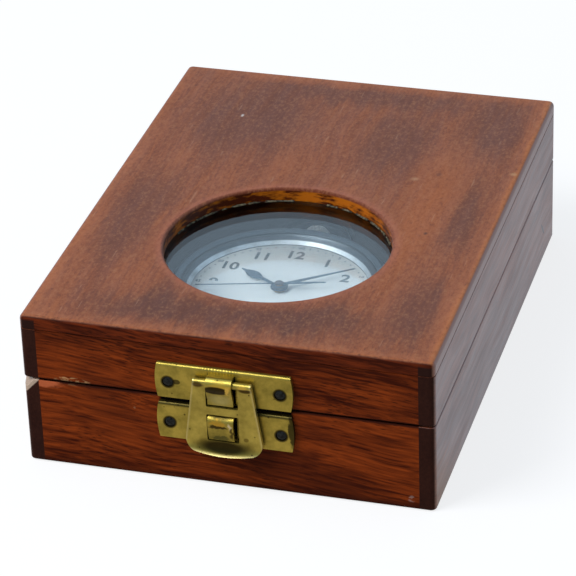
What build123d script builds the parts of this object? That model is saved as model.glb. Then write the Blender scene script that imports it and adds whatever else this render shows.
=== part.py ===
from build123d import *
from math import atan2, degrees, sqrt
import os

os.makedirs("parts", exist_ok=True)

# A mahogany deck watch box: a base that carries an open-face watch in a turned bed, and a
# hinged lid with a round window, held shut by a sprung brass hasp. Millimetres. X runs across
# the box, Y from the latch to the hinges, Z up; the origin is the middle of the underside.

# Box
box_width = 90.0
box_length = 121.5
box_height = 36.0
lid_height = 15.1
seam_gap = 0.4
wall = 3.5
top_board_thickness = 3.2
bottom_board_thickness = 3.0
corner_round = 1.3
top_edge_round = 1.1
seam_edge_round = 0.3
foot_edge_round = 0.5
worn_corner_width = 2.6
worn_corner_height = 2.9

# Window in the lid
window_radius = 25.0
window_setback = 41.65
window_edge_round = 0.6
pane_side = 58.0
pane_thickness = 2.0
pane_clearance = 0.2
bead_width = 5.0
bead_lip_width = 2.0
bead_lip_thickness = 1.3

# Bed in the base
bed_drop = 0.4
bed_recess_clearance = 0.35
bed_ledge_radius = 19.0
bed_pocket_depth = 1.8
seat_gap = 0.15
bow_shelf_clearance = 0.9
crown_trench_clearance = 0.5

# Watch case
dial_depth = 13.4
case_radius = 25.25
case_bore_radius = 22.3
case_middle_height = 5.8
case_edge_inset = 0.6
bezel_height = 4.0
bezel_top_radius = 22.95
bezel_lip_radius = 21.9
bezel_lip_drop = 0.45
bezel_shoulder_inset = 0.35
bezel_shoulder_rise = 2.9
back_depth = 3.1
back_dome_radius = 23.2
back_dome_rise = 1.9
back_thickness = 0.8
back_lip_height = 1.2
back_lip_thickness = 0.7
thread_clearance = 0.1
dial_below_bezel = 3.0
dial_thickness = 0.5
dial_hole_radius = 1.3
dial_ring_width = 2.5
dial_ring_height = 1.6
dial_ring_foot = 0.2
dial_ring_land = 0.5
crystal_thickness = 0.8
crystal_rise = 1.75
crystal_rim_height = 0.75
crystal_clearance = 0.05
movement_clearance = 0.2
movement_step_height = 1.9
movement_step_width = 1.8

# Pendant, crown and bow
pendant_axis_depth = 4.0
pendant_radius = 2.7
pendant_length = 2.45
pendant_end_round = 0.4
stem_radius = 0.75
stem_clearance = 0.06
stem_inner_radius = 17.0
crown_gap = 0.3
crown_radius = 3.2
crown_length = 4.0
crown_dome_height = 1.5
crown_end_wall = 2.0
crown_groove_count = 24
crown_groove_radius = 0.22
bow_wire_radius = 1.0
bow_ring_radius = 6.9
bow_ring_offset = 3.7
bow_turn_radius = 1.9
bow_pivot_inset = 1.1
bow_pin_radius = 0.55
bow_pin_clearance = 0.05
bow_pin_depth = 1.0
bow_side_gap = 0.3

# Hands, at the time they show, in degrees clockwise from twelve
hand_thickness = 0.16
hour_hand_lift = 0.75
hand_spacing = 0.42
hour_hand_angle = -60.0
minute_hand_angle = 54.0
seconds_hand_angle = -104.5
hour_hand_length = 11.8
hour_hub_radius = 1.95
hour_stalk_width = 0.75
hour_leaf_start = 5.6
hour_leaf_middle = 8.0
hour_leaf_end = 10.4
hour_leaf_width = 2.5
minute_hand_length = 17.6
minute_hub_radius = 1.5
minute_hand_width = 0.95
seconds_hand_length = 18.4
seconds_hand_width = 0.28
seconds_boss_radius = 0.95
seconds_boss_height = 0.3
tail_length = 10.2
tail_start = 3.2
tail_width = 0.75
hand_tip_width = 0.24
seconds_arbor_radius = 0.3
cannon_wall = 0.38
pipe_wall = 0.34
arbor_clearance = 0.05
hand_fit = 0.01
pipe_depth = 1.6
cannon_depth = 2.6
arbor_depth = 3.6

# Latch
plate_width = 29.0
upper_plate_height = 8.2
lower_plate_height = 8.6
lower_plate_drop = 0.95
plate_end_bulge = 0.5
plate_thickness = 1.0
plate_edge_round = 0.65
tongue_width = 5.6
tongue_off_centre = -0.4
tongue_thickness = 0.65
lance_gap = 0.25
pivot_rise = 5.5
pivot_radius = 0.8
pivot_stand_off = 2.05
pivot_clearance = 0.1
loop_end_lift = 0.35
loop_end_stand_off = 2.05
loop_crest_length = 0.6
loop_flat_length = 1.2
loop_bend_radius = 1.2
catch_root_drop = 0.9
catch_length = 5.8
catch_stand_off = 2.95
catch_end_stand_off = 2.2
catch_crest_length = 2.0
catch_bend_radius = 1.2
hasp_thickness = 0.85
hasp_stand_off = 2.2
hasp_top_width = 12.6
hasp_bottom_width = 17.4
hasp_off_centre = 0.1
hasp_window_width = 7.0
hasp_window_round = 0.35
hasp_loop_clearance = 0.45
hasp_catch_clearance = 0.3
lip_length = 3.15
lip_corner_drop = 2.2
lip_corner_radius = 2.6
lip_start_drop = 0.5
lip_bend_radius = 4.0
lip_bend_angle = 50.0
hasp_cut_depth = 8.0

# Nails
nail_shank_radius = 0.6
nail_clearance = 0.04
nail_length = 2.6
latch_nail_head_radius = 1.1
latch_nail_head_height = 0.35
latch_nail_dome = 0.28
latch_nail_sink = 0.5
latch_nail_ring = 0.12
latch_nail_inset = 2.3
latch_nail_rise = 3.8
hinge_nail_head_radius = 1.0
hinge_nail_head_height = 0.1
hinge_nail_dome = 0.5

# Hinges
hinge_width = 20.0
hinge_spread = 50.0
leaf_height = 8.0
leaf_thickness = 0.7
knuckle_radius = 1.3
knuckle_stand_off = 1.5
knuckle_gap = 0.15
hinge_pin_radius = 0.6
hinge_pin_clearance = 0.05
hinge_nail_spacing = 12.0
hinge_nail_setback = 5.0

# Places that follow from the sizes
front_y = -box_length / 2
back_y = box_length / 2
lid_bottom = box_height - lid_height
base_height = lid_bottom - seam_gap
lid_wall_top = box_height - top_board_thickness
inner_width = box_width - 2 * wall
inner_length = box_length - 2 * wall
watch_y = front_y + window_setback
dial_z = box_height - dial_depth
bezel_top = dial_z + dial_below_bezel
bezel_bottom = bezel_top - bezel_height
middle_bottom = bezel_bottom - case_middle_height
case_bottom = middle_bottom - back_depth
pendant_z = dial_z - pendant_axis_depth
pane_bottom = lid_wall_top - pane_thickness
bed_top = base_height - bed_drop
nail_hole_radius = nail_shank_radius + nail_clearance

watch_axis = Axis((0, watch_y, 0), (0, 0, 1))
# Local X is the distance from the watch's axis, local Y is the height
watch_section = Plane(origin=(0, watch_y, 0), x_dir=(1, 0, 0), z_dir=(0, -1, 0))
# The front and back faces of the box, seen from outside
front_face = Plane(origin=(0, front_y, 0), x_dir=(1, 0, 0), z_dir=(0, -1, 0))
back_face = Plane(origin=(0, back_y, 0), x_dir=(-1, 0, 0), z_dir=(0, 1, 0))

# Nails that hold the latch and the hinges, as places on those two faces
latch_nail_x = plate_width / 2 - latch_nail_inset
upper_nail_z = lid_bottom + latch_nail_rise
lower_plate_top = base_height - lower_plate_drop
lower_nail_z = lower_plate_top - lower_plate_height + latch_nail_rise
hinge_axis_z = base_height + seam_gap / 2
hinge_centres = (-hinge_spread / 2, hinge_spread / 2)
hinge_nail_x = [centre + side * hinge_nail_spacing / 2 for centre in hinge_centres for side in (-1, 1)]
lid_latch_nails = [(side * latch_nail_x, upper_nail_z) for side in (-1, 1)]
base_latch_nails = [(side * latch_nail_x, lower_nail_z) for side in (-1, 1)]
lid_hinge_nails = [(x, hinge_axis_z + hinge_nail_setback) for x in hinge_nail_x]
base_hinge_nails = [(x, hinge_axis_z - hinge_nail_setback) for x in hinge_nail_x]


def side_board(side, bottom, top):
    """A side board, full length, its two outer upright corners rounded over."""
    with BuildPart() as board:
        with BuildSketch(Plane((side * (box_width - wall) / 2, 0, bottom))):
            Rectangle(wall, box_length)
        extrude(amount=top - bottom)
        outside = board.faces().sort_by(Axis.X)[-1 if side > 0 else 0]
        fillet(outside.edges().filter_by(Axis.Z), corner_round)
    return board


def end_board(face, bottom, top, nail_places):
    """A front or back board between the side boards, drilled for the nails of its fittings."""
    with BuildPart() as board:
        with BuildSketch(face):
            with Locations((0, (bottom + top) / 2)):
                Rectangle(inner_width, top - bottom)
        extrude(amount=-wall)
        with BuildSketch(face):
            with Locations(*nail_places):
                Circle(nail_hole_radius)
        extrude(amount=-nail_length - nail_clearance, mode=Mode.SUBTRACT)
    return board


def ease_outer_edges(board, height, radius):
    """Soften the outside edges of a wall at one height, where a hand meets them."""
    level = board.edges().filter_by_position(Axis.Z, height - 0.01, height + 0.01)
    outer = [edge for edge in level if is_outside(edge)]
    fillet(outer, radius)


def is_outside(edge):
    """True for an edge that lies on the outside of the box's walls."""
    middle = edge @ 0.5
    on_side = abs(abs(middle.X) - box_width / 2) < corner_round
    on_end = abs(abs(middle.Y) - box_length / 2) < corner_round
    return on_side or on_end


# Base: two full-length side boards, with the front and back boards between them
for name, side in (("base_left_board", -1), ("base_right_board", 1)):
    with BuildPart() as base_side_board:
        add(side_board(side, 0, base_height))
        ease_outer_edges(base_side_board, base_height, seam_edge_round)
        ease_outer_edges(base_side_board, 0, foot_edge_round)
        if side < 0:
            # The front top corner is worn away down to bare wood
            corner = Vector(-box_width / 2, front_y, base_height)
            along = corner + Vector(worn_corner_width, 0, 0)
            back = corner + Vector(0, worn_corner_width, 0)
            down = corner - Vector(0, 0, worn_corner_height)
            worn_plane = Plane(origin=along, x_dir=back - along, z_dir=(back - along).cross(down - along))
            split(bisect_by=worn_plane, keep=Keep.BOTTOM)
    base_side_board.part.label = name
    export_step(base_side_board.part, f"parts/{name}.step")

base_end_boards = (
    ("base_front_board", front_face, base_latch_nails),
    ("base_back_board", back_face, base_hinge_nails),
)
for name, face, nail_places in base_end_boards:
    with BuildPart() as base_end_board:
        add(end_board(face, 0, base_height, nail_places))
        ease_outer_edges(base_end_board, base_height, seam_edge_round)
        ease_outer_edges(base_end_board, 0, foot_edge_round)
    base_end_board.part.label = name
    export_step(base_end_board.part, f"parts/{name}.step")

# Lid walls, made like the base's
for name, side in (("lid_left_board", -1), ("lid_right_board", 1)):
    with BuildPart() as lid_side_board:
        add(side_board(side, lid_bottom, lid_wall_top))
        ease_outer_edges(lid_side_board, lid_bottom, seam_edge_round)
    lid_side_board.part.label = name
    export_step(lid_side_board.part, f"parts/{name}.step")

lid_end_boards = (
    ("lid_front_board", front_face, lid_latch_nails),
    ("lid_back_board", back_face, lid_hinge_nails),
)
for name, face, nail_places in lid_end_boards:
    with BuildPart() as lid_end_board:
        add(end_board(face, lid_bottom, lid_wall_top, nail_places))
        ease_outer_edges(lid_end_board, lid_bottom, seam_edge_round)
    lid_end_board.part.label = name
    export_step(lid_end_board.part, f"parts/{name}.step")

# Bottom board, let in between the walls, flush with their lower edges
with BuildPart() as bottom_board:
    with BuildSketch():
        Rectangle(inner_width, inner_length)
    extrude(amount=bottom_board_thickness)
bottom_board.part.label = "bottom_board"
export_step(bottom_board.part, "parts/bottom_board.step")

# Top board, laid over the lid's walls, with the round window and worn, rounded edges
with BuildPart() as lid_top_board:
    with BuildSketch(Plane.XY.offset(lid_wall_top)):
        RectangleRounded(box_width, box_length, corner_round)
        with Locations((0, watch_y)):
            Circle(window_radius, mode=Mode.SUBTRACT)
    extrude(amount=top_board_thickness)
    upper_edges = lid_top_board.faces().sort_by(Axis.Z)[-1].edges()
    window_edge = upper_edges.filter_by(GeomType.CIRCLE).sort_by(SortBy.RADIUS)[-1]
    fillet(window_edge, window_edge_round)
    rim_edges = lid_top_board.faces().sort_by(Axis.Z)[-1].outer_wire().edges()
    fillet(rim_edges, top_edge_round)
    under_edges = lid_top_board.faces().sort_by(Axis.Z)[0].outer_wire().edges()
    fillet(under_edges, seam_edge_round)
lid_top_board.part.label = "lid_top_board"
export_step(lid_top_board.part, "parts/lid_top_board.step")

# The pane lies against the top board, and a rebated frame under it carries it
with BuildPart() as window_glass:
    with BuildSketch(Plane((0, watch_y, pane_bottom))):
        Rectangle(pane_side, pane_side)
    extrude(amount=pane_thickness)
window_glass.part.label = "window_glass"
export_step(window_glass.part, "parts/window_glass.step")

bead_inner = pane_side / 2 - bead_lip_width
bead_outer = bead_inner + bead_width
bead_shoulder = pane_side / 2 + pane_clearance
bead_bottom = pane_bottom - bead_lip_thickness
with BuildPart() as glass_frame:
    for turn in (0, 90, 180, 270):
        bead_plane = Plane(origin=(0, watch_y, lid_wall_top)).rotated((0, 0, turn))
        # The frame is four mitred strips, glued at the corners
        with BuildSketch(bead_plane):
            with BuildLine():
                Polyline(
                    (-bead_outer, bead_outer),
                    (bead_outer, bead_outer),
                    (bead_inner, bead_inner),
                    (-bead_inner, bead_inner),
                    close=True,
                )
            make_face()
        extrude(amount=bead_bottom - lid_wall_top)
    with BuildSketch(Plane((0, watch_y, pane_bottom))):
        Rectangle(2 * bead_shoulder, 2 * bead_shoulder)
    extrude(amount=pane_thickness, mode=Mode.SUBTRACT)
glass_frame.part.label = "glass_frame"
export_step(glass_frame.part, "parts/glass_frame.step")


def cap_drop(radius, cap_radius, cap_rise):
    """How far a round cap has fallen away from its middle, at a distance from its axis."""
    sphere = (cap_radius**2 + cap_rise**2) / (2 * cap_rise)
    return sphere - sqrt(sphere**2 - radius**2)


def back_dome_height(radius):
    """Height of the outside of the watch's back at a distance from its axis."""
    return case_bottom + cap_drop(radius, back_dome_radius, back_dome_rise)


# Watch bed: a block that fills the base, turned out for the case and trenched for crown and bow
bow_y = watch_y + case_radius + pendant_length - bow_pivot_inset
bow_ring_y = bow_y + bow_ring_offset
slot_radius = bow_ring_radius + bow_wire_radius + bow_shelf_clearance
ledge_z = back_dome_height(bed_ledge_radius) - seat_gap
bow_shelf_z = pendant_z - bow_wire_radius - seat_gap
trench_z = pendant_z - crown_radius - crown_trench_clearance
crown_y = watch_y + case_radius + pendant_length + crown_gap
crown_tip_y = crown_y + crown_length + crown_dome_height
with BuildPart() as watch_bed:
    with BuildSketch(Plane.XY.offset(bottom_board_thickness)):
        Rectangle(inner_width, inner_length)
    extrude(amount=bed_top - bottom_board_thickness)
    with BuildSketch(Plane.XY.offset(bed_top)):
        with Locations((0, watch_y)):
            Circle(case_radius + bed_recess_clearance)
    extrude(amount=ledge_z - bed_top, mode=Mode.SUBTRACT)
    with BuildSketch(Plane.XY.offset(ledge_z)):
        with Locations((0, watch_y)):
            Circle(bed_ledge_radius)
    extrude(amount=-bed_pocket_depth, mode=Mode.SUBTRACT)
    with BuildSketch(Plane.XY.offset(bed_top)):
        with Locations((0, bow_ring_y)):
            Circle(slot_radius)
        with Locations((0, (watch_y + bow_ring_y) / 2)):
            Rectangle(2 * slot_radius, bow_ring_y - watch_y)
    extrude(amount=bow_shelf_z - bed_top, mode=Mode.SUBTRACT)
    with BuildSketch(Plane.XY.offset(bed_top)):
        trench_end = crown_tip_y + crown_trench_clearance + crown_radius
        with Locations((0, (watch_y + trench_end) / 2)):
            SlotOverall(trench_end - watch_y, 2 * (crown_radius + crown_trench_clearance), rotation=90)
    extrude(amount=trench_z - bed_top, mode=Mode.SUBTRACT)
watch_bed.part.label = "watch_bed"
export_step(watch_bed.part, "parts/watch_bed.step")

# Case middle with its pendant, bored for the stem and drilled at the sides for the bow
edge_radius = case_radius - case_edge_inset
stem_bore_radius = stem_radius + stem_clearance
pendant_plane = Plane(origin=(0, watch_y, pendant_z), x_dir=(-1, 0, 0), z_dir=(0, 1, 0))
with BuildPart() as case_middle:
    with BuildSketch(watch_section):
        with BuildLine():
            Line((case_bore_radius, middle_bottom), (edge_radius, middle_bottom))
            middle_z = (middle_bottom + bezel_bottom) / 2
            ThreePointArc((edge_radius, middle_bottom), (case_radius, middle_z), (edge_radius, bezel_bottom))
            Line((edge_radius, bezel_bottom), (case_bore_radius, bezel_bottom))
            Line((case_bore_radius, bezel_bottom), (case_bore_radius, middle_bottom))
        make_face()
    revolve(axis=watch_axis)
    with BuildSketch(pendant_plane.offset(case_radius + pendant_length)):
        Circle(pendant_radius)
    extrude(amount=-pendant_length - case_edge_inset)
    fillet(case_middle.faces().sort_by(Axis.Y)[-1].edges(), pendant_end_round)
    with BuildSketch(pendant_plane.offset(case_radius + pendant_length)):
        Circle(stem_bore_radius)
    extrude(amount=stem_inner_radius - case_radius - pendant_length, mode=Mode.SUBTRACT)
    for side in (-1, 1):
        with BuildSketch(Plane(origin=(side * pendant_radius, bow_y, pendant_z), z_dir=(-side, 0, 0))):
            Circle(bow_pin_radius + bow_pin_clearance)
        extrude(amount=bow_pin_depth + bow_pin_clearance, mode=Mode.SUBTRACT)
case_middle.part.label = "case_middle"
export_step(case_middle.part, "parts/case_middle.step")

# Case back: a shallow dished cover with a lip that screws up into the middle
with BuildPart() as case_back:
    lip_outer = case_bore_radius - thread_clearance
    lip_inner = lip_outer - back_lip_thickness
    with BuildSketch(watch_section):
        with BuildLine():
            half = back_dome_radius / 2
            inner_edge = (lip_inner, back_dome_height(lip_inner) + back_thickness)
            inner_half = (lip_inner / 2, back_dome_height(lip_inner / 2) + back_thickness)
            dome_edge = (back_dome_radius, back_dome_height(back_dome_radius))
            ThreePointArc((0, case_bottom), (half, back_dome_height(half)), dome_edge)
            Line(dome_edge, (edge_radius, middle_bottom))
            Line((edge_radius, middle_bottom), (lip_outer, middle_bottom))
            Line((lip_outer, middle_bottom), (lip_outer, middle_bottom + back_lip_height))
            Line((lip_outer, middle_bottom + back_lip_height), (lip_inner, middle_bottom + back_lip_height))
            Line((lip_inner, middle_bottom + back_lip_height), inner_edge)
            ThreePointArc(inner_edge, inner_half, (0, case_bottom + back_thickness))
            Line((0, case_bottom + back_thickness), (0, case_bottom))
        make_face()
    revolve(axis=watch_axis)
case_back.part.label = "case_back"
export_step(case_back.part, "parts/case_back.step")

# Bezel: rolls over from the middle to a bright inner bevel, and grips the crystal's rim
dial_ring_top = dial_z + dial_ring_height
crystal_radius = case_bore_radius - thread_clearance
crystal_rim_top = dial_ring_top + crystal_rim_height
with BuildPart() as case_bezel:
    with BuildSketch(watch_section):
        with BuildLine():
            lip_top = (bezel_lip_radius, bezel_top - bezel_lip_drop)
            lip_under = (bezel_lip_radius, crystal_rim_top + crystal_clearance)
            groove_top = (crystal_radius + crystal_clearance, crystal_rim_top + crystal_clearance)
            groove_foot = (crystal_radius + crystal_clearance, bezel_bottom)
            Line((edge_radius, bezel_bottom), groove_foot)
            Line(groove_foot, groove_top)
            Line(groove_top, lip_under)
            Line(lip_under, lip_top)
            Line(lip_top, (bezel_top_radius, bezel_top))
            shoulder = (edge_radius - bezel_shoulder_inset, bezel_bottom + bezel_shoulder_rise)
            ThreePointArc((bezel_top_radius, bezel_top), shoulder, (edge_radius, bezel_bottom))
        make_face()
    revolve(axis=watch_axis)
case_bezel.part.label = "case_bezel"
export_step(case_bezel.part, "parts/case_bezel.step")

# Crystal: a low dome with an upright rim
with BuildPart() as watch_crystal:
    with BuildSketch(watch_section):
        with BuildLine():
            dome_radius = bezel_lip_radius - crystal_clearance
            inner_radius = dome_radius - crystal_thickness
            crystal_top = crystal_rim_top + crystal_rise
            inner_top = crystal_top - crystal_thickness
            half_drop = cap_drop(dome_radius / 2, dome_radius, crystal_rise)
            inner_half_drop = cap_drop(inner_radius / 2, dome_radius, crystal_rise)
            inner_edge = (inner_radius, inner_top - cap_drop(inner_radius, dome_radius, crystal_rise))
            Line((crystal_radius, dial_ring_top), (crystal_radius, crystal_rim_top))
            Line((crystal_radius, crystal_rim_top), (dome_radius, crystal_rim_top))
            dome_half = (dome_radius / 2, crystal_top - half_drop)
            ThreePointArc((dome_radius, crystal_rim_top), dome_half, (0, crystal_top))
            Line((0, crystal_top), (0, inner_top))
            ThreePointArc((0, inner_top), (inner_radius / 2, inner_top - inner_half_drop), inner_edge)
            Line(inner_edge, (inner_radius, dial_ring_top))
            Line((inner_radius, dial_ring_top), (crystal_radius, dial_ring_top))
        make_face()
    revolve(axis=watch_axis)
watch_crystal.part.label = "watch_crystal"
export_step(watch_crystal.part, "parts/watch_crystal.step")

# Dial, and the bevelled ring on its edge that the crystal comes down on
dial_radius = case_bore_radius - thread_clearance
with BuildPart() as dial:
    with BuildSketch(Plane((0, watch_y, dial_z))):
        Circle(dial_radius)
        Circle(dial_hole_radius, mode=Mode.SUBTRACT)
    extrude(amount=-dial_thickness)
dial.part.label = "dial"
export_step(dial.part, "parts/dial.step")

with BuildPart() as dial_ring:
    with BuildSketch(watch_section):
        with BuildLine():
            foot = (dial_radius - dial_ring_width, dial_z)
            foot_top = (dial_radius - dial_ring_width, dial_z + dial_ring_foot)
            land = (dial_radius - dial_ring_land, dial_z + dial_ring_height)
            rim = (dial_radius, dial_z + dial_ring_height)
            Polyline((dial_radius, dial_z), foot, foot_top, land, rim, close=True)
        make_face()
    revolve(axis=watch_axis)
dial_ring.part.label = "dial_ring"
export_step(dial_ring.part, "parts/dial_ring.step")

# Sealed movement, one closed unit with its stem bore and centre well
seconds_bore_radius = seconds_arbor_radius + arbor_clearance
cannon_radius = seconds_bore_radius + cannon_wall
pipe_bore_radius = cannon_radius + arbor_clearance
pipe_radius = pipe_bore_radius + pipe_wall
movement_top = dial_z - dial_thickness
movement_radius = case_bore_radius - thread_clearance - back_lip_thickness - movement_clearance
movement_bottom = middle_bottom - movement_clearance
with BuildPart() as movement:
    with BuildSketch(Plane((0, watch_y, movement_bottom))):
        Circle(movement_radius - movement_step_width)
    extrude(amount=movement_step_height)
    with BuildSketch(Plane((0, watch_y, movement_bottom + movement_step_height))):
        Circle(movement_radius)
    extrude(amount=movement_top - movement_bottom - movement_step_height)
    with BuildSketch(Plane((0, watch_y, movement_top))):
        Circle(pipe_radius + arbor_clearance)
    extrude(amount=-arbor_depth - arbor_clearance, mode=Mode.SUBTRACT)
    with BuildSketch(pendant_plane.offset(case_bore_radius)):
        Circle(stem_bore_radius)
    extrude(amount=stem_inner_radius - stem_clearance - case_bore_radius, mode=Mode.SUBTRACT)
movement.part.label = "movement"
export_step(movement.part, "parts/movement.step")

# Stem, from the movement out through the pendant into the crown
stem_end_y = crown_tip_y - crown_end_wall
with BuildPart() as winding_stem:
    with BuildSketch(pendant_plane.offset(stem_inner_radius)):
        Circle(stem_radius)
    extrude(amount=stem_end_y - watch_y - stem_inner_radius)
winding_stem.part.label = "winding_stem"
export_step(winding_stem.part, "parts/winding_stem.step")

# Crown: a fluted drum with a domed end, bored for the stem's end
crown_plane = pendant_plane.offset(crown_y - watch_y)
with BuildPart() as crown:
    crown_section = Plane(origin=(0, crown_y, pendant_z), x_dir=(1, 0, 0), z_dir=(0, 0, 1))
    with BuildSketch(crown_section):
        with BuildLine():
            bore = stem_radius + stem_clearance
            bore_end = stem_end_y - crown_y + stem_clearance
            crown_tip = crown_length + crown_dome_height
            Line((bore, 0), (crown_radius, 0))
            Line((crown_radius, 0), (crown_radius, crown_length))
            half_drop = cap_drop(crown_radius / 2, crown_radius, crown_dome_height)
            dome_half = (crown_radius / 2, crown_tip - half_drop)
            ThreePointArc((crown_radius, crown_length), dome_half, (0, crown_tip))
            Line((0, crown_tip), (0, bore_end))
            Line((0, bore_end), (bore, bore_end))
            Line((bore, bore_end), (bore, 0))
        make_face()
    revolve(axis=Axis((0, crown_y, pendant_z), (0, 1, 0)))
    with BuildSketch(crown_plane):
        with PolarLocations(crown_radius, crown_groove_count):
            Circle(crown_groove_radius)
    extrude(amount=crown_length, mode=Mode.SUBTRACT)
crown.part.label = "crown"
export_step(crown.part, "parts/crown.step")

# Bow: round wire bent to a ring, its ends turned in to the pendant on two short pins
bow_plane = Plane(origin=(0, bow_y, pendant_z))
turn_x = sqrt((bow_ring_radius - bow_turn_radius) ** 2 - (bow_ring_offset - bow_turn_radius) ** 2)
turn_angle = degrees(atan2(bow_turn_radius - bow_ring_offset, turn_x))
bow_end_x = pendant_radius + bow_side_gap
with BuildPart() as bow:
    with BuildLine(bow_plane) as bow_path:
        CenterArc((0, bow_ring_offset), bow_ring_radius, 90, turn_angle - 90)
        CenterArc((turn_x, bow_turn_radius), bow_turn_radius, turn_angle, -90 - turn_angle)
        Line((turn_x, 0), (bow_end_x, 0))
    bow_top_y = bow_ring_y + bow_ring_radius
    with BuildSketch(Plane(origin=(0, bow_top_y, pendant_z), z_dir=(1, 0, 0))):
        Circle(bow_wire_radius)
    sweep(path=bow_path.wires()[0])
    with BuildSketch(Plane(origin=(bow_end_x, bow_y, pendant_z), z_dir=(-1, 0, 0))):
        Circle(bow_pin_radius)
    extrude(amount=bow_side_gap + bow_pin_depth)
    mirror(about=Plane.YZ)
bow.part.label = "bow"
export_step(bow.part, "parts/bow.step")


# Hands, each on its own arbor; a hand is drawn pointing at twelve and then turned
def hand_plane(angle, level):
    """The plane of a hand's underside, turned clockwise from twelve."""
    return Plane(origin=(0, watch_y, level)).rotated((0, 0, -angle))


hour_z = dial_z + hour_hand_lift
minute_z = hour_z + hand_spacing
seconds_z = minute_z + hand_spacing

with BuildPart() as hour_hand:
    with BuildSketch(hand_plane(hour_hand_angle, hour_z)):
        Circle(hour_hub_radius)
        with Locations((0, hour_leaf_start / 2)):
            Rectangle(hour_stalk_width, hour_leaf_start)
        with BuildLine():
            leaf_foot = (hour_stalk_width / 2, hour_leaf_start)
            leaf_side = (hour_leaf_width / 2, hour_leaf_middle)
            leaf_end = (hour_stalk_width / 2, hour_leaf_end)
            tip = (hand_tip_width / 2, hour_hand_length)
            Spline(leaf_foot, leaf_side, leaf_end)
            Line(leaf_end, tip)
            Line(tip, (0, hour_hand_length))
            Line((0, hour_hand_length), (0, hour_leaf_start))
            Line((0, hour_leaf_start), leaf_foot)
        make_face()
        mirror(about=Plane.YZ)
        Circle(pipe_radius + hand_fit, mode=Mode.SUBTRACT)
    extrude(amount=hand_thickness)
hour_hand.part.label = "hour_hand"
export_step(hour_hand.part, "parts/hour_hand.step")

with BuildPart() as minute_hand:
    with BuildSketch(hand_plane(minute_hand_angle, minute_z)):
        Circle(minute_hub_radius)
        with BuildLine():
            Polyline(
                (-minute_hand_width / 2, 0),
                (minute_hand_width / 2, 0),
                (minute_hand_width / 2, minute_hub_radius),
                (hand_tip_width / 2, minute_hand_length),
                (-hand_tip_width / 2, minute_hand_length),
                (-minute_hand_width / 2, minute_hub_radius),
                close=True,
            )
        make_face()
        Circle(cannon_radius + hand_fit, mode=Mode.SUBTRACT)
    extrude(amount=hand_thickness)
minute_hand.part.label = "minute_hand"
export_step(minute_hand.part, "parts/minute_hand.step")

# The seconds hand has a domed boss, a needle and a tapered tail behind it
with BuildPart() as seconds_hand:
    with BuildSketch(hand_plane(seconds_hand_angle, seconds_z)):
        with BuildLine():
            Polyline(
                (-seconds_hand_width / 2, 0),
                (seconds_hand_width / 2, 0),
                (hand_tip_width / 3, seconds_hand_length),
                (-hand_tip_width / 3, seconds_hand_length),
                close=True,
            )
        make_face()
        with BuildLine():
            Polyline(
                (0, 0),
                (-seconds_hand_width / 2, 0),
                (-tail_width / 2, -tail_start),
                (-hand_tip_width / 2, -tail_length),
                (hand_tip_width / 2, -tail_length),
                (tail_width / 2, -tail_start),
                (seconds_hand_width / 2, 0),
                close=True,
            )
        make_face()
        Circle(seconds_boss_radius)
    extrude(amount=hand_thickness)
    with BuildSketch(hand_plane(seconds_hand_angle, seconds_z)):
        Circle(seconds_boss_radius)
    extrude(amount=seconds_boss_height)
    fillet(seconds_hand.faces().sort_by(Axis.Z)[-1].edges(), hand_thickness / 2)
    with BuildSketch(Plane((0, watch_y, seconds_z))):
        Circle(seconds_arbor_radius + hand_fit)
    extrude(amount=hand_thickness, mode=Mode.SUBTRACT)
seconds_hand.part.label = "seconds_hand"
export_step(seconds_hand.part, "parts/seconds_hand.step")


def tube(bottom, top, outer, inner):
    """An upright tube or rod on the watch's axis."""
    with BuildPart() as piece:
        with BuildSketch(Plane((0, watch_y, bottom))):
            Circle(outer)
            if inner:
                Circle(inner, mode=Mode.SUBTRACT)
        extrude(amount=top - bottom)
    return piece


arbors = (
    ("hour_pipe", pipe_depth, hour_z, pipe_radius, pipe_bore_radius),
    ("cannon_pinion", cannon_depth, minute_z, cannon_radius, seconds_bore_radius),
    ("seconds_arbor", arbor_depth, seconds_z, seconds_arbor_radius, 0),
)
for name, depth, hand_z, outer, inner in arbors:
    arbor = tube(movement_top - depth, hand_z + hand_thickness, outer, inner)
    arbor.part.label = name
    export_step(arbor.part, f"parts/{name}.step")


# Latch. Stand-offs are measured out from the box's front face
def latch_section(width):
    """A plane across the latch: local X is the stand-off from the front, local Y the height."""
    return Plane(origin=(width / 2, front_y, 0), x_dir=(0, -1, 0), z_dir=(-1, 0, 0))


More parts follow.
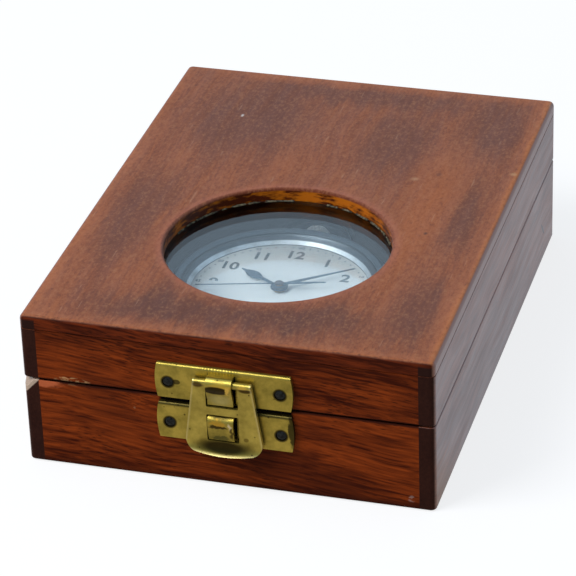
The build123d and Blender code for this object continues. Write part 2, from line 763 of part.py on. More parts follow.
def latch_plate(bottom, height, nail_places, tongue_points, tongue_bends, lance_bottom, lance_top):
    """A plate with a rolled top edge, sunk nail holes and a tongue lanced and bowed out of it."""
    with BuildPart() as plate:
        with BuildSketch(front_face):
            with BuildLine():
                half = plate_width / 2
                middle = bottom + height / 2
                top = bottom + height
                Line((-half, bottom), (half, bottom))
                ThreePointArc((half, bottom), (half + plate_end_bulge, middle), (half, top))
                Line((half, top), (-half, top))
                ThreePointArc((-half, top), (-half - plate_end_bulge, middle), (-half, bottom))
            make_face()
        extrude(amount=plate_thickness)
        top_edge = plate.faces().sort_by(Axis.Y)[0].edges().sort_by(Axis.Z)[-1]
        fillet(top_edge, plate_edge_round)
        with BuildSketch(front_face):
            with Locations((tongue_off_centre, (lance_bottom + lance_top) / 2)):
                Rectangle(tongue_width + 2 * lance_gap, lance_top - lance_bottom)
        extrude(amount=plate_thickness, mode=Mode.SUBTRACT)
        with BuildSketch(front_face):
            with Locations(*nail_places):
                Circle(nail_hole_radius)
        extrude(amount=plate_thickness, mode=Mode.SUBTRACT)
        with BuildSketch(front_face.offset(plate_thickness)):
            with Locations(*nail_places):
                Circle(latch_nail_head_radius + latch_nail_ring)
        extrude(amount=-latch_nail_sink, mode=Mode.SUBTRACT)
        with BuildSketch(latch_section(tongue_width).offset(-tongue_off_centre)):
            with BuildLine():
                FilletPolyline(*tongue_points, radius=tongue_bends)
            trace(line_width=tongue_thickness)
        extrude(amount=tongue_width)
    return plate


pivot_z = lid_bottom + pivot_rise
loop_end_z = lid_bottom + loop_end_lift
loop_reach = pivot_radius + pivot_clearance + tongue_thickness / 2
loop_crest = pivot_stand_off + loop_reach
loop_points = (
    (plate_thickness / 2, pivot_z + loop_reach),
    (loop_crest, pivot_z + loop_reach),
    (loop_crest, pivot_z - loop_crest_length),
    (loop_end_stand_off, loop_end_z + loop_flat_length),
    (loop_end_stand_off, loop_end_z),
)
loop_bends = (loop_reach, loop_bend_radius, loop_bend_radius)
loop_root_z = pivot_z + loop_reach + tongue_thickness / 2
upper_plate = latch_plate(
    lid_bottom,
    upper_plate_height,
    lid_latch_nails,
    loop_points,
    loop_bends,
    loop_end_z - lance_gap,
    loop_root_z,
)
upper_plate.part.label = "latch_upper_plate"
export_step(upper_plate.part, "parts/latch_upper_plate.step")

catch_root_z = lower_plate_top - catch_root_drop
catch_end_z = catch_root_z - catch_length
catch_top_z = catch_root_z - tongue_thickness / 2
catch_points = (
    (plate_thickness / 2, catch_top_z),
    (catch_stand_off, catch_top_z),
    (catch_stand_off, catch_top_z - catch_crest_length),
    (catch_end_stand_off, catch_end_z),
)
catch_bends = (catch_bend_radius, catch_bend_radius)
lower_plate = latch_plate(
    lower_plate_top - lower_plate_height,
    lower_plate_height,
    base_latch_nails,
    catch_points,
    catch_bends,
    catch_end_z - lance_gap,
    catch_root_z,
)
lower_plate.part.label = "latch_lower_plate"
export_step(lower_plate.part, "parts/latch_lower_plate.step")

# Hasp: a tapered sheet with two windows, swung on a bar behind the loop, its lip dished outwards
loop_window_bottom = loop_end_z - hasp_loop_clearance
catch_window_top = catch_root_z + hasp_catch_clearance
catch_window_bottom = catch_end_z - hasp_catch_clearance
lip_start_z = catch_window_bottom - lip_start_drop
hasp_tip_z = catch_window_bottom - lip_length
with BuildPart() as latch_hasp:
    with BuildSketch(latch_section(2 * hasp_bottom_width)):
        with BuildLine():
            Line((hasp_stand_off, pivot_z), (hasp_stand_off, lip_start_z))
            JernArc((hasp_stand_off, lip_start_z), (0, -1), lip_bend_radius, lip_bend_angle)
        trace(line_width=hasp_thickness)
    extrude(amount=2 * hasp_bottom_width)
    with BuildSketch(front_face):
        with BuildLine():
            half_top = hasp_top_width / 2
            half_bottom = hasp_bottom_width / 2
            bar_top = pivot_z + pivot_radius
            corner_z = catch_window_bottom - lip_corner_drop
            left, right = hasp_off_centre - half_bottom, hasp_off_centre + half_bottom
            Line((right, corner_z), (hasp_off_centre + half_top, bar_top))
            Line((hasp_off_centre + half_top, bar_top), (hasp_off_centre - half_top, bar_top))
            Line((hasp_off_centre - half_top, bar_top), (left, corner_z))
            ThreePointArc((left, corner_z), (hasp_off_centre, hasp_tip_z), (right, corner_z))
        make_face()
        fillet(vertices().group_by(Axis.Y)[0], lip_corner_radius)
    extrude(amount=hasp_cut_depth, mode=Mode.INTERSECT)
    with BuildSketch(front_face):
        with Locations((0, (pivot_z + loop_window_bottom) / 2)):
            Rectangle(hasp_window_width, pivot_z - loop_window_bottom)
        with Locations((0, (catch_window_top + catch_window_bottom) / 2)):
            Rectangle(hasp_window_width, catch_window_top - catch_window_bottom)
        fillet(vertices(), hasp_window_round)
    extrude(amount=hasp_cut_depth, mode=Mode.SUBTRACT)
    bar_end = (hasp_off_centre - half_top, front_y - pivot_stand_off, pivot_z)
    with BuildSketch(Plane(origin=bar_end, x_dir=(0, 1, 0), z_dir=(1, 0, 0))):
        Circle(pivot_radius)
    extrude(amount=hasp_top_width)
latch_hasp.part.label = "latch_hasp"
export_step(latch_hasp.part, "parts/latch_hasp.step")


# Nails: a shank and a low domed head
def nails(face, places, seat, head_radius, head_height, dome):
    """Domed nails driven square into a face, their heads seated at a stand-off from it."""
    with BuildPart() as nail:
        with BuildSketch(Plane.XZ):
            with BuildLine():
                point = (0, -seat - nail_length)
                rim = (head_radius, head_height)
                crest = (0, head_height + dome)
                half_drop = cap_drop(head_radius / 2, head_radius, dome)
                Polyline(crest, point, (nail_shank_radius, -seat - nail_length), (nail_shank_radius, 0))
                Polyline((nail_shank_radius, 0), (head_radius, 0), rim)
                ThreePointArc(rim, (head_radius / 2, head_height + dome - half_drop), crest)
            make_face()
        revolve(axis=Axis.Z)
    with BuildPart() as group:
        with Locations(*[face.offset(seat).location * Pos(x, z) for x, z in places]):
            add(nail.part)
    return group


latch_nail_seat = plate_thickness - latch_nail_sink
latch_nail_head = (latch_nail_head_radius, latch_nail_head_height, latch_nail_dome)
hinge_nail_head = (hinge_nail_head_radius, hinge_nail_head_height, hinge_nail_dome)
nail_groups = (
    ("latch_lid_nails", front_face, lid_latch_nails, latch_nail_seat, latch_nail_head),
    ("latch_base_nails", front_face, base_latch_nails, latch_nail_seat, latch_nail_head),
    ("hinge_lid_nails", back_face, lid_hinge_nails, leaf_thickness, hinge_nail_head),
    ("hinge_base_nails", back_face, base_hinge_nails, leaf_thickness, hinge_nail_head),
)
for name, face, places, seat, head in nail_groups:
    nail_group = nails(face, places, seat, *head)
    nail_group.part.label = name
    export_step(nail_group.part, f"parts/{name}.step")


# Hinges: butt hinges on the back, the base's leaf with the outer knuckles and the lid's with the middle
def hinge_section(x):
    """A plane across a hinge: local X is the stand-off from the back, local Y the height."""
    return Plane(origin=(x, back_y, hinge_axis_z), x_dir=(0, 1, 0), z_dir=(1, 0, 0))


def hinge_leaves(side, knuckle_spans, nail_places):
    """The leaves of both hinges on one side of the seam: side is 1 for the lid, -1 for the base."""
    with BuildPart() as leaves:
        for centre in hinge_centres:
            start_x = centre - hinge_width / 2
            notch = knuckle_radius + knuckle_gap
            with BuildSketch(hinge_section(start_x)):
                with Locations((leaf_thickness / 2, side * (notch + leaf_height) / 2)):
                    Rectangle(leaf_thickness, leaf_height - notch)
            extrude(amount=hinge_width)
            for start, end in knuckle_spans:
                with BuildSketch(hinge_section(start_x + start)):
                    with Locations((leaf_thickness / 2, side * (notch + knuckle_gap) / 2)):
                        Rectangle(leaf_thickness, notch - knuckle_gap)
                    with Locations((knuckle_stand_off, 0)):
                        Circle(knuckle_radius)
                        Circle(hinge_pin_radius + hinge_pin_clearance, mode=Mode.SUBTRACT)
                extrude(amount=end - start)
        with BuildSketch(back_face):
            with Locations(*nail_places):
                Circle(nail_hole_radius)
        extrude(amount=leaf_thickness, mode=Mode.SUBTRACT)
    return leaves


knuckle = hinge_width / 3
outer_knuckles = ((0, knuckle - knuckle_gap / 2), (2 * knuckle + knuckle_gap / 2, hinge_width))
middle_knuckle = ((knuckle + knuckle_gap / 2, 2 * knuckle - knuckle_gap / 2),)
hinge_base_leaves = hinge_leaves(-1, outer_knuckles, base_hinge_nails)
hinge_base_leaves.part.label = "hinge_base_leaves"
export_step(hinge_base_leaves.part, "parts/hinge_base_leaves.step")

hinge_lid_leaves = hinge_leaves(1, middle_knuckle, lid_hinge_nails)
hinge_lid_leaves.part.label = "hinge_lid_leaves"
export_step(hinge_lid_leaves.part, "parts/hinge_lid_leaves.step")

with BuildPart() as hinge_pins:
    for centre in hinge_centres:
        with BuildSketch(hinge_section(centre - hinge_width / 2)):
            with Locations((knuckle_stand_off, 0)):
                Circle(hinge_pin_radius)
        extrude(amount=hinge_width)
hinge_pins.part.label = "hinge_pins"
export_step(hinge_pins.part, "parts/hinge_pins.step")
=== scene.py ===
import bpy
from math import cos, pi, radians, sin
from mathutils import Matrix, Vector


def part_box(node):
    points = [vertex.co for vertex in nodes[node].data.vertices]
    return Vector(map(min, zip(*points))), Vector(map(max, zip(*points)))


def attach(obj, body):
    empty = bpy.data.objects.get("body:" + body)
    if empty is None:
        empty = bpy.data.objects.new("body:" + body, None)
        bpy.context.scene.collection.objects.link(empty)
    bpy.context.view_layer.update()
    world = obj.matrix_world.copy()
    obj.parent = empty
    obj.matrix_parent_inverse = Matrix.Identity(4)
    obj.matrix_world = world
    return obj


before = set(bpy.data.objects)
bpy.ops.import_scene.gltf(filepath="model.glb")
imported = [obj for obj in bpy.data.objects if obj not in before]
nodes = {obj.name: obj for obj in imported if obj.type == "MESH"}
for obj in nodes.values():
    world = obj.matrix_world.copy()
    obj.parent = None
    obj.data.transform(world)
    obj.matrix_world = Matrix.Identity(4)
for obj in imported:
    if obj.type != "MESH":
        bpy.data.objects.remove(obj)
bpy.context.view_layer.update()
bpy.ops.object.select_all(action="DESELECT")

# The camera
# It stood to the right of the latch and well above the lid, on a long lens. This place, turn and
# lens put the corners of the box where the photograph has them.
bpy.ops.object.camera_add()
camera = bpy.context.object
to_right = Vector((0.9620673, 0.2709946, -0.0314379))
to_top = Vector((-0.1105340, 0.4925538, 0.8632340))
to_back = Vector((0.2494166, -0.8270143, 0.5038240))
camera_turn = Matrix((to_right, to_top, to_back)).transposed().to_4x4()
camera.matrix_world = Matrix.Translation((0.1750896, -0.5930973, 0.3745935)) @ camera_turn
camera.data.sensor_width = 36.0
camera.data.lens = 197.94
bpy.context.scene.camera = camera
bpy.context.scene.view_settings.view_transform = "Standard"


# The light
# One broad soft box above the latch side, and pale air all round. Gloss and glass see the bright
# paper behind the box and the darker room on the camera's side.
def linear(code):
    """Turn an sRGB hex colour into linear red, green, blue and alpha."""
    parts = [int(code[place:place + 2], 16) / 255 for place in (0, 2, 4)]
    return [part / 12.92 if part <= 0.04045 else ((part + 0.055) / 1.055) ** 2.4 for part in parts] + [1.0]


def put(tree, kind, feeds=None, **settings):
    """Add one node, set it, feed its inputs with values or nodes' outputs, and return its output."""
    node = tree.nodes.new("ShaderNode" + kind)
    for name, value in settings.items():
        setattr(node, name, value)
    for key, value in (feeds or {}).items():
        if isinstance(value, bpy.types.NodeSocket):
            tree.links.new(value, node.inputs[key])
        else:
            node.inputs[key].default_value = value
    return next((output for output in node.outputs if output.enabled), None)


bpy.ops.object.light_add(type="AREA", location=(-0.62, -0.55, 1.0))
soft_box = bpy.context.object
soft_box.rotation_euler = Vector((0.62, 0.55, -0.98)).to_track_quat("-Z", "Y").to_euler()
soft_box.data.size = 0.6
soft_box.data.energy = 10.5
soft_box.data.color = (1.0, 0.985, 0.96)

world = bpy.data.worlds.new("studio_air")
bpy.context.scene.world = world
world.use_nodes = True
air = world.node_tree
air.nodes.clear()
ray = put(air, "LightPath").node.outputs
mirrored = put(air, "Math", {0: ray["Is Glossy Ray"], 1: ray["Is Transmission Ray"]}, operation="MAXIMUM")
heading = put(air, "SeparateXYZ", {"Vector": put(air, "TexCoord").node.outputs["Object"]}).node.outputs
behind = put(air, "MapRange", {
    "Value": heading["Y"], "From Min": -0.5, "From Max": 0.3, "To Min": 0.4, "To Max": 1.08,
}, interpolation_type="SMOOTHSTEP")
seen = put(air, "Mix", {0: mirrored, 2: 0.55, 3: behind}, data_type="FLOAT")
strength = put(air, "Mix", {0: ray["Is Camera Ray"], 2: seen, 3: 1.0}, data_type="FLOAT")
tint = put(air, "Mix", {0: ray["Is Camera Ray"], 6: linear("CAE3F8"), 7: linear("FFFFFF")}, data_type="RGBA")
put(air, "OutputWorld", {"Surface": put(air, "Background", {"Color": tint, "Strength": strength})})


# The paper it stands on
# White paper, lit past white as the photograph shows it. The box keeps a faint shadow on it, and
# its gloss fades towards the camera's side as the paper's own light does.
def material_tree(name):
    """Start an empty node material and return it with its tree."""
    material = bpy.data.materials.new(name)
    material.use_nodes = True
    material.node_tree.nodes.clear()
    return material, material.node_tree


bpy.ops.mesh.primitive_plane_add(size=3.2, location=(0, 0.35, -0.0002))
paper = bpy.context.object
paper.name = "paper_floor"
bpy.ops.object.transform_apply(location=True)
paper_white, tree = material_tree("white_paper")
ray = put(tree, "LightPath").node.outputs
mirrored = put(tree, "Math", {0: ray["Is Glossy Ray"], 1: ray["Is Transmission Ray"]}, operation="MAXIMUM")
axes = put(tree, "SeparateXYZ", {"Vector": put(tree, "TexCoord").node.outputs["Object"]}).node.outputs
beyond = put(tree, "MapRange", {
    "Value": axes["Y"], "From Min": -0.08, "From Max": -0.03,
}, interpolation_type="SMOOTHSTEP")
glow = put(tree, "Mix", {0: beyond, 2: 0.45, 3: 0.95}, data_type="FLOAT")
hue = put(tree, "Mix", {0: beyond, 6: linear("FFF4E2"), 7: linear("E4E8F2")}, data_type="RGBA")
lit = put(tree, "BsdfDiffuse", {"Color": linear("E6E6E6")})
shaded = put(tree, "BsdfDiffuse", {"Color": linear("8E8E90")})
lift = put(tree, "Emission", {"Color": linear("FFFFFF"), "Strength": 0.78})
shown = put(tree, "AddShader", {0: shaded, 1: lift})
plain = put(tree, "MixShader", {0: ray["Is Camera Ray"], 1: lit, 2: shown})
gloss = put(tree, "Emission", {"Color": hue, "Strength": glow})
put(tree, "OutputMaterial", {"Surface": put(tree, "MixShader", {0: mirrored, 1: plain, 2: gloss})})
paper.data.materials.append(paper_white)


# The end boards of the box
# Red-brown mahogany, 3.5 mm thick, glued up as one box and sawn open. Its shellac is dark and dull,
# with painted shade at the foot, under the top board, in the seam and behind the latch, and bare wood
# where it is chipped and split.
mm = 0.001
top_board_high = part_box("lid_top_board")[1]
half_width, half_length = top_board_high.x / mm, top_board_high.y / mm
base_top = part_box("base_front_board")[1].z / mm
seam_middle = (base_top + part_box("lid_front_board")[0].z / mm) / 2


def mark(tree, place, centre, reach, turn=(0, 0, 0), full=0.5):
    """A soft spot on a surface: 1 round its centre and 0 from its reach outwards, in mm."""
    spot = put(tree, "Mapping", {
        "Vector": place, "Location": [v * mm for v in centre], "Rotation": turn,
        "Scale": [v * mm for v in reach],
    }, vector_type="TEXTURE")
    fade = put(tree, "TexGradient", {"Vector": spot}, gradient_type="SPHERICAL")
    return put(tree, "MapRange", {"Value": fade, "From Max": full}, interpolation_type="SMOOTHSTEP")


def streaks(tree, place, per_metre, detail, turn=(0, 0, 0), rough=0.5):
    """Noise drawn out along the axes, with so many lumps to the metre along X, Y and Z."""
    drawn = put(tree, "Mapping", {"Vector": place, "Rotation": turn, "Scale": per_metre})
    return put(tree, "TexNoise", {"Vector": drawn, "Scale": 1.0, "Detail": detail, "Roughness": rough})


def lay(tree, under, tint, cover, amount=1.0):
    """Lay a tint over a colour as far as a pattern covers it, and at most by that amount."""
    share = put(tree, "Math", {0: cover, 1: amount}, operation="MULTIPLY")
    return put(tree, "Mix", {0: share, 6: under, 7: linear(tint)}, data_type="RGBA")


def band(tree, level, low, high, soft):
    """1 between two levels and 0 outside them, in mm; each border is soft and starts at its level."""
    over = put(tree, "MapRange", {"Value": level, "From Min": low * mm, "From Max": (low + soft) * mm})
    under = put(tree, "MapRange", {
        "Value": level, "From Min": high * mm, "From Max": (high + soft) * mm, "To Min": 1.0, "To Max": 0.0,
    })
    return put(tree, "Math", {0: over, 1: under}, operation="MULTIPLY")


def wood(tree, spot, turn, pale, deep, pore_width, pore_depth):
    """Mahogany whose grain runs along X after the turn.

    Its ribbons are 8 mm wide, its fibres 0.6 mm wide, and its open pores 3 mm long.
    """
    lie = put(tree, "Mapping", {"Vector": spot["Object"], "Rotation": turn})
    drift = put(tree, "TexNoise", {"Vector": spot["Object"], "Scale": 30.0, "Detail": 2.0})
    lie = put(tree, "VectorMath", {
        0: drift.node.outputs["Color"], 1: (0.0, 5.0 * mm, 5.0 * mm), 2: lie,
    }, operation="MULTIPLY_ADD")
    ribbon = streaks(tree, lie, (14, 130, 130), 3.0)
    fibre = streaks(tree, lie, (90, 1700, 1700), 2.0, rough=0.6)
    ribbon = put(tree, "Math", {0: ribbon, 1: 0.45}, operation="MULTIPLY")
    grain = put(tree, "Math", {0: fibre, 1: 0.55, 2: ribbon}, operation="MULTIPLY_ADD")
    tone = put(tree, "MapRange", {"Value": grain, "From Min": 0.38, "From Max": 0.62})
    colour = put(tree, "Mix", {0: tone, 6: linear(deep), 7: linear(pale)}, data_type="RGBA")
    crowd = streaks(tree, lie, (35, 110, 110), 1.0)
    width = put(tree, "MapRange", {
        "Value": crowd, "From Min": 0.36, "From Max": 0.66, "To Min": 0.1, "To Max": pore_width,
    })
    cells = put(tree, "Mapping", {"Vector": lie, "Scale": (300, 2300, 2300)})
    cells = put(tree, "TexVoronoi", {"Vector": cells, "Scale": 1.0})
    pore = put(tree, "Math", {0: width, 1: cells}, operation="SUBTRACT")
    pore = put(tree, "MapRange", {"Value": pore, "From Max": 0.12})
    colour = lay(tree, colour, "1E0B06", pore, pore_depth)
    pit = put(tree, "Math", {0: pore, 1: -1.0}, operation="MULTIPLY")
    height = put(tree, "Math", {0: fibre, 1: 0.25, 2: pit}, operation="MULTIPLY_ADD")
    return colour, height, lie


def facing(tree, spot, axis):
    """How squarely a face looks along one axis: 1 for a face across it, 0 for one that runs along it."""
    normal = put(tree, "SeparateXYZ", {"Vector": spot["Normal"]}).node.outputs[axis]
    square = put(tree, "Math", {0: normal}, operation="ABSOLUTE")
    return put(tree, "MapRange", {
        "Value": square, "From Min": 0.4, "From Max": 0.8,
    }, interpolation_type="SMOOTHSTEP")


def mahogany(name, turn, pale, deep, end_tint, pores, dullness, specular, end_axis):
    """Mahogany under shellac, polished along the grain and dark and dull on the end grain."""
    material, tree = material_tree(name)
    spot = put(tree, "TexCoord").node.outputs
    colour, height, lie = wood(tree, spot, turn, pale, deep, *pores)
    end_grain = facing(tree, spot, end_axis)
    colour = lay(tree, colour, end_tint, end_grain, 0.92)
    haze = streaks(tree, lie, (40, 420, 420), 4.0)
    rough = put(tree, "MapRange", {
        "Value": haze, "From Min": 0.3, "From Max": 0.7, "To Min": dullness - 0.05, "To Max": dullness + 0.06,
    })
    shine = put(tree, "Mix", {0: end_grain, 2: specular, 3: 0.04}, data_type="FLOAT")
    relief = put(tree, "Bump", {"Strength": 0.35, "Distance": 0.06 * mm, "Height": height})
    finish = put(tree, "BsdfPrincipled", {
        "Base Color": colour, "Roughness": rough, "Normal": relief, "IOR": 1.5, "Specular IOR Level": shine,
    })
    put(tree, "OutputMaterial", {"Surface": finish})
    return material, tree, spot, colour, finish.node


end_boards, tree, spot, colour, finish = mahogany(
    "shellacked_mahogany_ends", (0, -0.1, 0), "8C3911", "3F1306", "2A1210", (0.34, 0.7), 0.55, 0.03, "X")
place = spot["Object"]
axes = put(tree, "SeparateXYZ", {"Vector": place}).node.outputs
aside = put(tree, "Math", {0: axes["X"]}, operation="ABSOLUTE")
height = axes["Z"]
smoke = put(tree, "MapRange", {
    "Value": streaks(tree, place, (45, 45, 110), 3.0), "From Min": 0.45, "From Max": 0.7,
}, interpolation_type="SMOOTHSTEP")
colour = lay(tree, colour, "371208", smoke, 0.6)
splinter = put(tree, "TexNoise", {"Vector": place, "Scale": 900.0, "Detail": 3.0}).node.outputs["Color"]
splintered = put(tree, "VectorMath", {
    0: splinter, 1: (1.6 * mm, 0, 0.8 * mm), 2: place,
}, operation="MULTIPLY_ADD")
crumbs = streaks(tree, place, (700, 1500, 1500), 3.0)
crumbs = put(tree, "MapRange", {"Value": crumbs, "From Min": 0.46, "From Max": 0.54})
for x, z, wide, tall, full, tint, amount in (
        (-33.4, 21.5, 4.6, 1.1, 0.25, "B98A5C", 0.75),
        (40.6, 2.9, 0.9, 1.1, 0.6, "C9B9AC", 0.25)):
    chip = mark(tree, splintered, (x, -half_length, z), (wide, 3, tall), full=full)
    chip = put(tree, "Math", {0: chip, 1: crumbs}, operation="MULTIPLY")
    colour = lay(tree, colour, tint, chip, amount)
nick = mark(tree, splintered, (-19.5, -half_length, 16.9), (0.5, 3, 0.4))
colour = lay(tree, colour, "A9805E", nick, 0.3)
# Painted shade at the foot, on the lid's upper part under the top board, and in the seam
foot = put(tree, "MapRange", {
    "Value": height, "From Min": 0.2 * mm, "From Max": 2.2 * mm, "To Min": 0.75, "To Max": 0.0,
}, interpolation_type="SMOOTHSTEP")
lid_head = put(tree, "MapRange", {
    "Value": height, "From Min": 29.0 * mm, "From Max": 36.0 * mm, "To Max": 0.45,
}, interpolation_type="SMOOTHSTEP")
from_seam = put(tree, "Math", {0: height, 1: seam_middle * mm}, operation="SUBTRACT")
from_seam = put(tree, "Math", {0: from_seam}, operation="ABSOLUTE")
seam = put(tree, "MapRange", {
    "Value": from_seam, "From Min": 0.25 * mm, "From Max": 0.75 * mm, "To Min": 0.95, "To Max": 0.0,
}, interpolation_type="SMOOTHSTEP")
painted_shade_bands = put(tree, "Math", {0: foot, 1: lid_head}, operation="MAXIMUM")
painted_shade_bands = put(tree, "Math", {0: painted_shade_bands, 1: seam}, operation="MAXIMUM")
colour = lay(tree, colour, "2C1009", painted_shade_bands)
corner = mark(tree, splintered, (-42.0, -half_length, base_top - 0.1), (8.0, 3, 1.5), full=0.4)
split = put(tree, "Math", {0: corner, 1: crumbs}, operation="MAXIMUM")
split = put(tree, "Math", {0: split, 1: corner}, operation="MULTIPLY")
on_base = put(tree, "MapRange", {
    "Value": height, "From Min": (base_top - 0.1) * mm, "From Max": base_top * mm,
    "To Min": 0.85, "To Max": 0.0,
})
split = put(tree, "Math", {0: split, 1: on_base}, operation="MULTIPLY")
colour = lay(tree, colour, "C0613A", split)
# Painted shade on the front behind the hasp's windows and between the latch plates
under_hasp = put(tree, "MapRange", {
    "Value": aside, "From Min": 4.4 * mm, "From Max": 4.8 * mm, "To Min": 1.0, "To Max": 0.0,
})
under_hasp = put(tree, "Math", {0: under_hasp, 1: band(tree, height, 11.2, 28.6, 0.2)}, operation="MULTIPLY")
between_plates = put(tree, "MapRange", {
    "Value": aside, "From Min": 14.2 * mm, "From Max": 14.9 * mm, "To Min": 1.0, "To Max": 0.0,
})
between_plates = put(tree, "Math", {
    0: between_plates, 1: band(tree, height, 19.4, 20.95, 0.1),
}, operation="MULTIPLY")
painted_latch_shade = put(tree, "Math", {0: under_hasp, 1: between_plates}, operation="MAXIMUM")
outside = put(tree, "MapRange", {
    "Value": axes["Y"], "From Min": -60.6 * mm, "From Max": -60.3 * mm, "To Min": 1.0, "To Max": 0.0,
})
painted_latch_shade = put(tree, "Math", {0: painted_latch_shade, 1: outside}, operation="MULTIPLY")
colour = lay(tree, colour, "0C0604", painted_latch_shade)
tree.links.new(colour, finish.inputs["Base Color"])
for name in ("base_front_board", "base_back_board", "lid_front_board", "lid_back_board"):
    nodes[name].material_slots[0].material = end_boards

# The side boards of the box
# The same mahogany with its shellac still glossy, so it mirrors the paper as a pale veil. The base's
# front left corner is broken down to bare wood, and the right board is cracked near the back.
side_boards, tree, spot, colour, finish = mahogany(
    "shellacked_mahogany_sides", (0, 0, -pi / 2), "8A4A30", "5C2C1A", "25120F", (0.22, 0.5), 0.34, 0.95, "Y")
place = spot["Object"]
axes = put(tree, "SeparateXYZ", {"Vector": place}).node.outputs
break_slope = 1.06
break_start = (16.6 + half_width * break_slope) * mm
broken = put(tree, "Math", {0: axes["X"], 1: -break_slope, 2: axes["Z"]}, operation="MULTIPLY_ADD")
broken = put(tree, "MapRange", {"Value": broken, "From Min": break_start, "From Max": break_start + 0.3 * mm})
corner = mark(tree, place, (-half_width, -half_length, base_top), (9.0, 7.0, 9.0), full=0.2)
broken = put(tree, "Math", {0: broken, 1: corner}, operation="MULTIPLY")
on_base = put(tree, "MapRange", {
    "Value": axes["Z"], "From Min": base_top * mm, "From Max": (base_top + 0.3) * mm,
    "To Min": 1.0, "To Max": 0.0,
})
broken = put(tree, "Math", {0: broken, 1: on_base}, operation="MULTIPLY")
colour = lay(tree, colour, "B89C86", broken)
crack = mark(tree, place, (half_width, 47.9, 8.3), (1.5, 3.4, 0.55), turn=(-0.9, 0, 0), full=0.4)
colour = lay(tree, colour, "140A08", crack)
tree.links.new(colour, finish.inputs["Base Color"])
for name in ("base_left_board", "base_right_board", "lid_left_board", "lid_right_board"):
    nodes[name].material_slots[0].material = side_boards


# The lid's top board
# The same mahogany, laid over the walls with its window turned through it. Its shellac is stained
# and rubbed, and its outer edges look like the walls below, since the joint hardly shows.
def strayed(tree, place, noise, span):
    """Shift each point by a noise's colour, over a span in mm, so that marks laid there run ragged."""
    back = put(tree, "VectorMath", {0: place, 1: [v * mm / 2 for v in span]}, operation="SUBTRACT")
    return put(tree, "VectorMath", {
        0: noise.node.outputs["Color"], 1: [v * mm for v in span], 2: back,
    }, operation="MULTIPLY_ADD")


window_radius = 25.0
dial_low, dial_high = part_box("dial")
axis_y = (dial_low.y + dial_high.y) / 2 / mm
lid_top = top_board_high.z / mm
top_board, tree, spot, colour, finish = mahogany(
    "shellacked_mahogany_top", (0, 0, -pi / 2), "A05832", "874729", "5A2410", (0.24, 0.4), 0.5, 0.3, "Y")
place = spot["Object"]
axes = put(tree, "SeparateXYZ", {"Vector": place}).node.outputs
aside = put(tree, "Math", {0: axes["X"]}, operation="ABSOLUTE")
from_side = put(tree, "Math", {0: half_width * mm, 1: aside}, operation="SUBTRACT")
along = put(tree, "Math", {0: axes["Y"]}, operation="ABSOLUTE")
from_end = put(tree, "Math", {0: half_length * mm, 1: along}, operation="SUBTRACT")
from_outside = put(tree, "Math", {0: from_side, 1: from_end}, operation="MINIMUM")
off_axis = put(tree, "Math", {0: axes["Y"], 1: -axis_y * mm}, operation="ADD")
off_axis = put(tree, "CombineXYZ", {"X": axes["X"], "Y": off_axis})
from_axis = put(tree, "VectorMath", {0: off_axis}, operation="LENGTH").node.outputs["Value"]
from_window = put(tree, "Math", {0: from_axis, 1: window_radius * mm}, operation="SUBTRACT")
from_edge = put(tree, "Math", {0: from_outside, 1: from_window}, operation="MINIMUM")
ragged = streaks(tree, place, (180, 60, 60), 3.0)
# Dark stains, which keep away from the edges
ragged_edge = put(tree, "Math", {0: ragged, 1: -5.0 * mm, 2: from_edge}, operation="MULTIPLY_ADD")
inside = put(tree, "MapRange", {
    "Value": ragged_edge, "From Min": 0.5 * mm, "From Max": 3.0 * mm,
}, interpolation_type="SMOOTHSTEP")
cloudy = strayed(tree, place, streaks(tree, place, (230, 26, 26), 4.0, rough=0.6), (8, 24, 0))
stain = 0.0
for x, y, wide, long in (
        (-22, 38, 24, 30), (13, 31, 13, 29), (35, 43, 13, 26), (-34, -14, 11, 34), (37, 2, 6, 25),
        (8, -49, 27, 12), (-14, -52, 26, 9), (37, -41, 9, 19), (0, 54, 48, 10)):
    cloud = mark(tree, cloudy, (x, y, lid_top), (wide, long, 30), full=0.75)
    stain = put(tree, "Math", {0: stain, 1: cloud}, operation="MAXIMUM")
stain = put(tree, "Math", {0: stain, 1: inside}, operation="MULTIPLY")
colour = lay(tree, colour, "633526", stain, 0.66)
# Rubbed and worn places, lighter along the edges and darker at the front
ragged_outside = put(tree, "Math", {0: ragged, 1: -5.0 * mm, 2: from_outside}, operation="MULTIPLY_ADD")
rubbed = put(tree, "MapRange", {
    "Value": ragged_outside, "From Min": -2.2 * mm, "From Max": 1.2 * mm, "To Min": 0.6, "To Max": 0.0,
}, interpolation_type="SMOOTHSTEP")
colour = lay(tree, colour, "B4663C", rubbed)
warm = mark(tree, cloudy, (27, 2, lid_top), (9, 50, 30), full=0.8)
colour = lay(tree, colour, "B25F2A", warm, 0.45)
front_dark = mark(tree, cloudy, (2, -50, lid_top), (46, 14, 30), full=0.7)
colour = lay(tree, colour, "4E2A20", front_dark, 0.4)
from_right = put(tree, "Math", {0: half_width * mm, 1: axes["X"]}, operation="SUBTRACT")
from_right = put(tree, "Math", {0: ragged, 1: -3.0 * mm, 2: from_right}, operation="MULTIPLY_ADD")
worn_side = put(tree, "MapRange", {
    "Value": from_right, "From Min": -0.6 * mm, "From Max": 0.5 * mm, "To Min": 0.6, "To Max": 0.0,
}, interpolation_type="SMOOTHSTEP")
colour = lay(tree, colour, "BC6C36", worn_side)
round_window = put(tree, "MapRange", {
    "Value": from_window, "From Min": 0.4 * mm, "From Max": 2.8 * mm, "To Min": 0.5, "To Max": 0.0,
}, interpolation_type="SMOOTHSTEP")
colour = lay(tree, colour, "B4664A", round_window)
# Painted shade along the rounded arrises of the top and of the window
arris = put(tree, "MapRange", {
    "Value": from_edge, "From Min": 0.15 * mm, "From Max": 0.9 * mm, "To Min": 0.5, "To Max": 0.0,
}, interpolation_type="SMOOTHSTEP")
colour = lay(tree, colour, "4E2014", arris)
